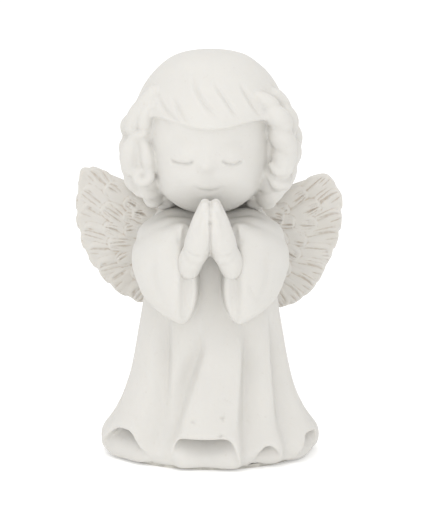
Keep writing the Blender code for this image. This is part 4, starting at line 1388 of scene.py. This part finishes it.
class FIGURINE_OT_wings(bpy.types.Operator):
    """Carves both wings from feathers laid out by geometry nodes"""

    bl_idname = "figurine.wings"
    bl_label = "Feathered Wings"

    def execute(self, context):
        settings = context.scene.figurine
        colours = settings.finishes
        shades = (tuple(colours.wing_resin), tuple(colours.wing_cloud_and_painted_shade), tuple(colours.grime_and_crease_shade))
        material = cast_resin("wing_resin", *shades, *WING_CREASE_GRIME_AND_SHADE)
        kinds = bpy.data.collections.new("carved_feathers")
        for number in range(2 * KINDS):
            share, blunt = (1, 0.8) if number < KINDS else (0.6, 0.55)
            depth = settings.wings.barb_depth * share
            kinds.objects.link(carved_feather(f"feather_{number}", depth, 40 + number, blunt))
        tree = feather_tree()
        tables = ((LEFT_FEATHERS, LEFT_OUTLINE), (RIGHT_FEATHERS, RIGHT_OUTLINE))
        for (name, side), (table, outline) in zip(SIDES, tables):
            clay = sculpt_wing(side, table, outline, settings.wings, material, tree, kinds)
            clay.lay_down(f"{name}_wing", material, f"{name}_wing_casting", "wing_resin")
        for feather in list(kinds.objects):
            bpy.data.objects.remove(feather)
        bpy.data.collections.remove(kinds)
        return {"FINISHED"}


class FIGURINE_OT_joints(bpy.types.Operator):
    """Spreads the glue and finishes the dowel, the pins and the felt pad"""

    bl_idname = "figurine.joints"
    bl_label = "Glue, Pins and Felt"

    def execute(self, context):
        colours = context.scene.figurine.finishes
        glue = glue_finish(colours)
        for name, side in SIDES:
            glue_bed(side, f"{name}_wing_glue_bed").lay_down(
                f"{name}_wing_glue", glue, f"{name}_wing_glue_bed", "glue"
            )
        neck_glue().lay_down("neck_glue", glue, "neck_glue_ring", "glue")
        steel = drawn_steel("drawn_steel", tuple(colours.steel))
        felt = pressed_felt("pressed_felt", tuple(colours.felt))
        pins = [f"{name}_wing_{place}_pin" for name, _ in SIDES for place in ("upper", "lower")]
        for node, material in [(pin, steel) for pin in (*pins, "neck_dowel")] + [("base_felt_pad", felt)]:
            for slot in frame["nodes"][node].material_slots:
                slot.material = material
        return {"FINISHED"}


class FIGURINE_OT_stage(bpy.types.Operator):
    """Sets the soft light, the camera and the pale floor, which glows faintly as painted fill light"""

    bl_idname = "figurine.stage"
    bl_label = "Stage"

    def execute(self, context):
        settings = context.scene.figurine.stage
        scene = context.scene
        scene.view_settings.view_transform = "Standard"
        # The floor glows faintly white: painted light that brightens the figure's undersides and softens its
        # contact shadow.
        glowing_floor_finish = Finish("glowing_pale_floor", 0.8, Specular_IOR_Level=0.1, Emission_Strength=0.18)
        glowing_floor_finish.shader.inputs["Emission Color"].default_value = (1, 1, 1, 1)
        dust = glowing_floor_finish.ramp(glowing_floor_finish.noise(0.08, 3.0), 0.2, 0.8)
        tint = glowing_floor_finish.mix(dust, tuple(settings.floor), tuple(0.985 * c for c in settings.floor))
        mesh = bpy.data.meshes.new("floor")
        reach = 4.0
        corners = [(x * reach, y * reach, 0.0) for x, y in ((-1, -1), (1, -1), (1, 1), (-1, 1))]
        mesh.from_pydata(corners, [], [(0, 1, 2, 3)])
        mesh.materials.append(glowing_floor_finish.wear(tint))
        floor = bpy.data.objects.new("floor", mesh)
        scene.collection.objects.link(floor)
        world = bpy.data.worlds.new("even_sky")
        world.use_nodes = True
        world.node_tree.nodes["Background"].inputs["Color"].default_value = (1, 1, 1, 1)
        world.node_tree.nodes["Background"].inputs["Strength"].default_value = settings.sky
        scene.world = world
        middle = Vector((AXIS.x, AXIS.y, CAD_HIGH.z / 2))
        for (name, place, size), energy in zip(SOFTBOXES, (settings.overhead_power, settings.front_power)):
            light = bpy.data.lights.new(name, "AREA")
            light.size, light.energy = size, energy
            holder = bpy.data.objects.new(name, light)
            holder.location = place
            holder.rotation_euler = (middle - Vector(place)).to_track_quat("-Z", "Y").to_euler()
            scene.collection.objects.link(holder)
        camera = bpy.data.cameras.new("camera")
        camera.lens, camera.sensor_width = settings.lens, 36
        holder = bpy.data.objects.new("camera", camera)
        target = Vector((AXIS.x + CAMERA_AIM[0] * MM, AXIS.y, CAMERA_AIM[1] * MM))
        rise = settings.elevation
        holder.location = target + settings.distance * Vector((0, -math.cos(rise), math.sin(rise)))
        holder.rotation_euler = (target - holder.location).to_track_quat("-Z", "Y").to_euler()
        scene.collection.objects.link(holder)
        scene.camera = holder
        return {"FINISHED"}


OPERATORS = (
    FIGURINE_OT_stage,
    FIGURINE_OT_head,
    FIGURINE_OT_robe,
    FIGURINE_OT_hands,
    FIGURINE_OT_wings,
    FIGURINE_OT_joints,
)


class FIGURINE_PT_panel(bpy.types.Panel):
    """Lists the figurine's pieces and their sizes"""

    bl_idname = "FIGURINE_PT_panel"
    bl_label = "Praying Angel"
    bl_space_type = "VIEW_3D"
    bl_region_type = "UI"
    bl_category = "Figurine"

    def draw(self, context):
        settings = context.scene.figurine
        for operator in OPERATORS:
            self.layout.operator(operator.bl_idname)
        for group in ("head", "robe", "hands", "wings", "finishes", "stage"):
            box = self.layout.box()
            box.label(text=group.capitalize())
            values = getattr(settings, group)
            for key in values.__annotations__:
                box.prop(values, key)


CLASSES = (
    HeadSizes,
    RobeSizes,
    HandSizes,
    WingSizes,
    Finishes,
    StageSettings,
    FigurineSettings,
    *OPERATORS,
    FIGURINE_PT_panel,
)


def register():
    for made in CLASSES:
        bpy.utils.register_class(made)
    bpy.types.Scene.figurine = bpy.props.PointerProperty(type=FigurineSettings)


def unregister():
    del bpy.types.Scene.figurine
    for made in reversed(CLASSES):
        bpy.utils.unregister_class(made)


def main():
    register()
    for operator in OPERATORS:
        group, name = operator.bl_idname.split(".")
        getattr(getattr(bpy.ops, group), name)()


if __name__ == "__main__":
    main()
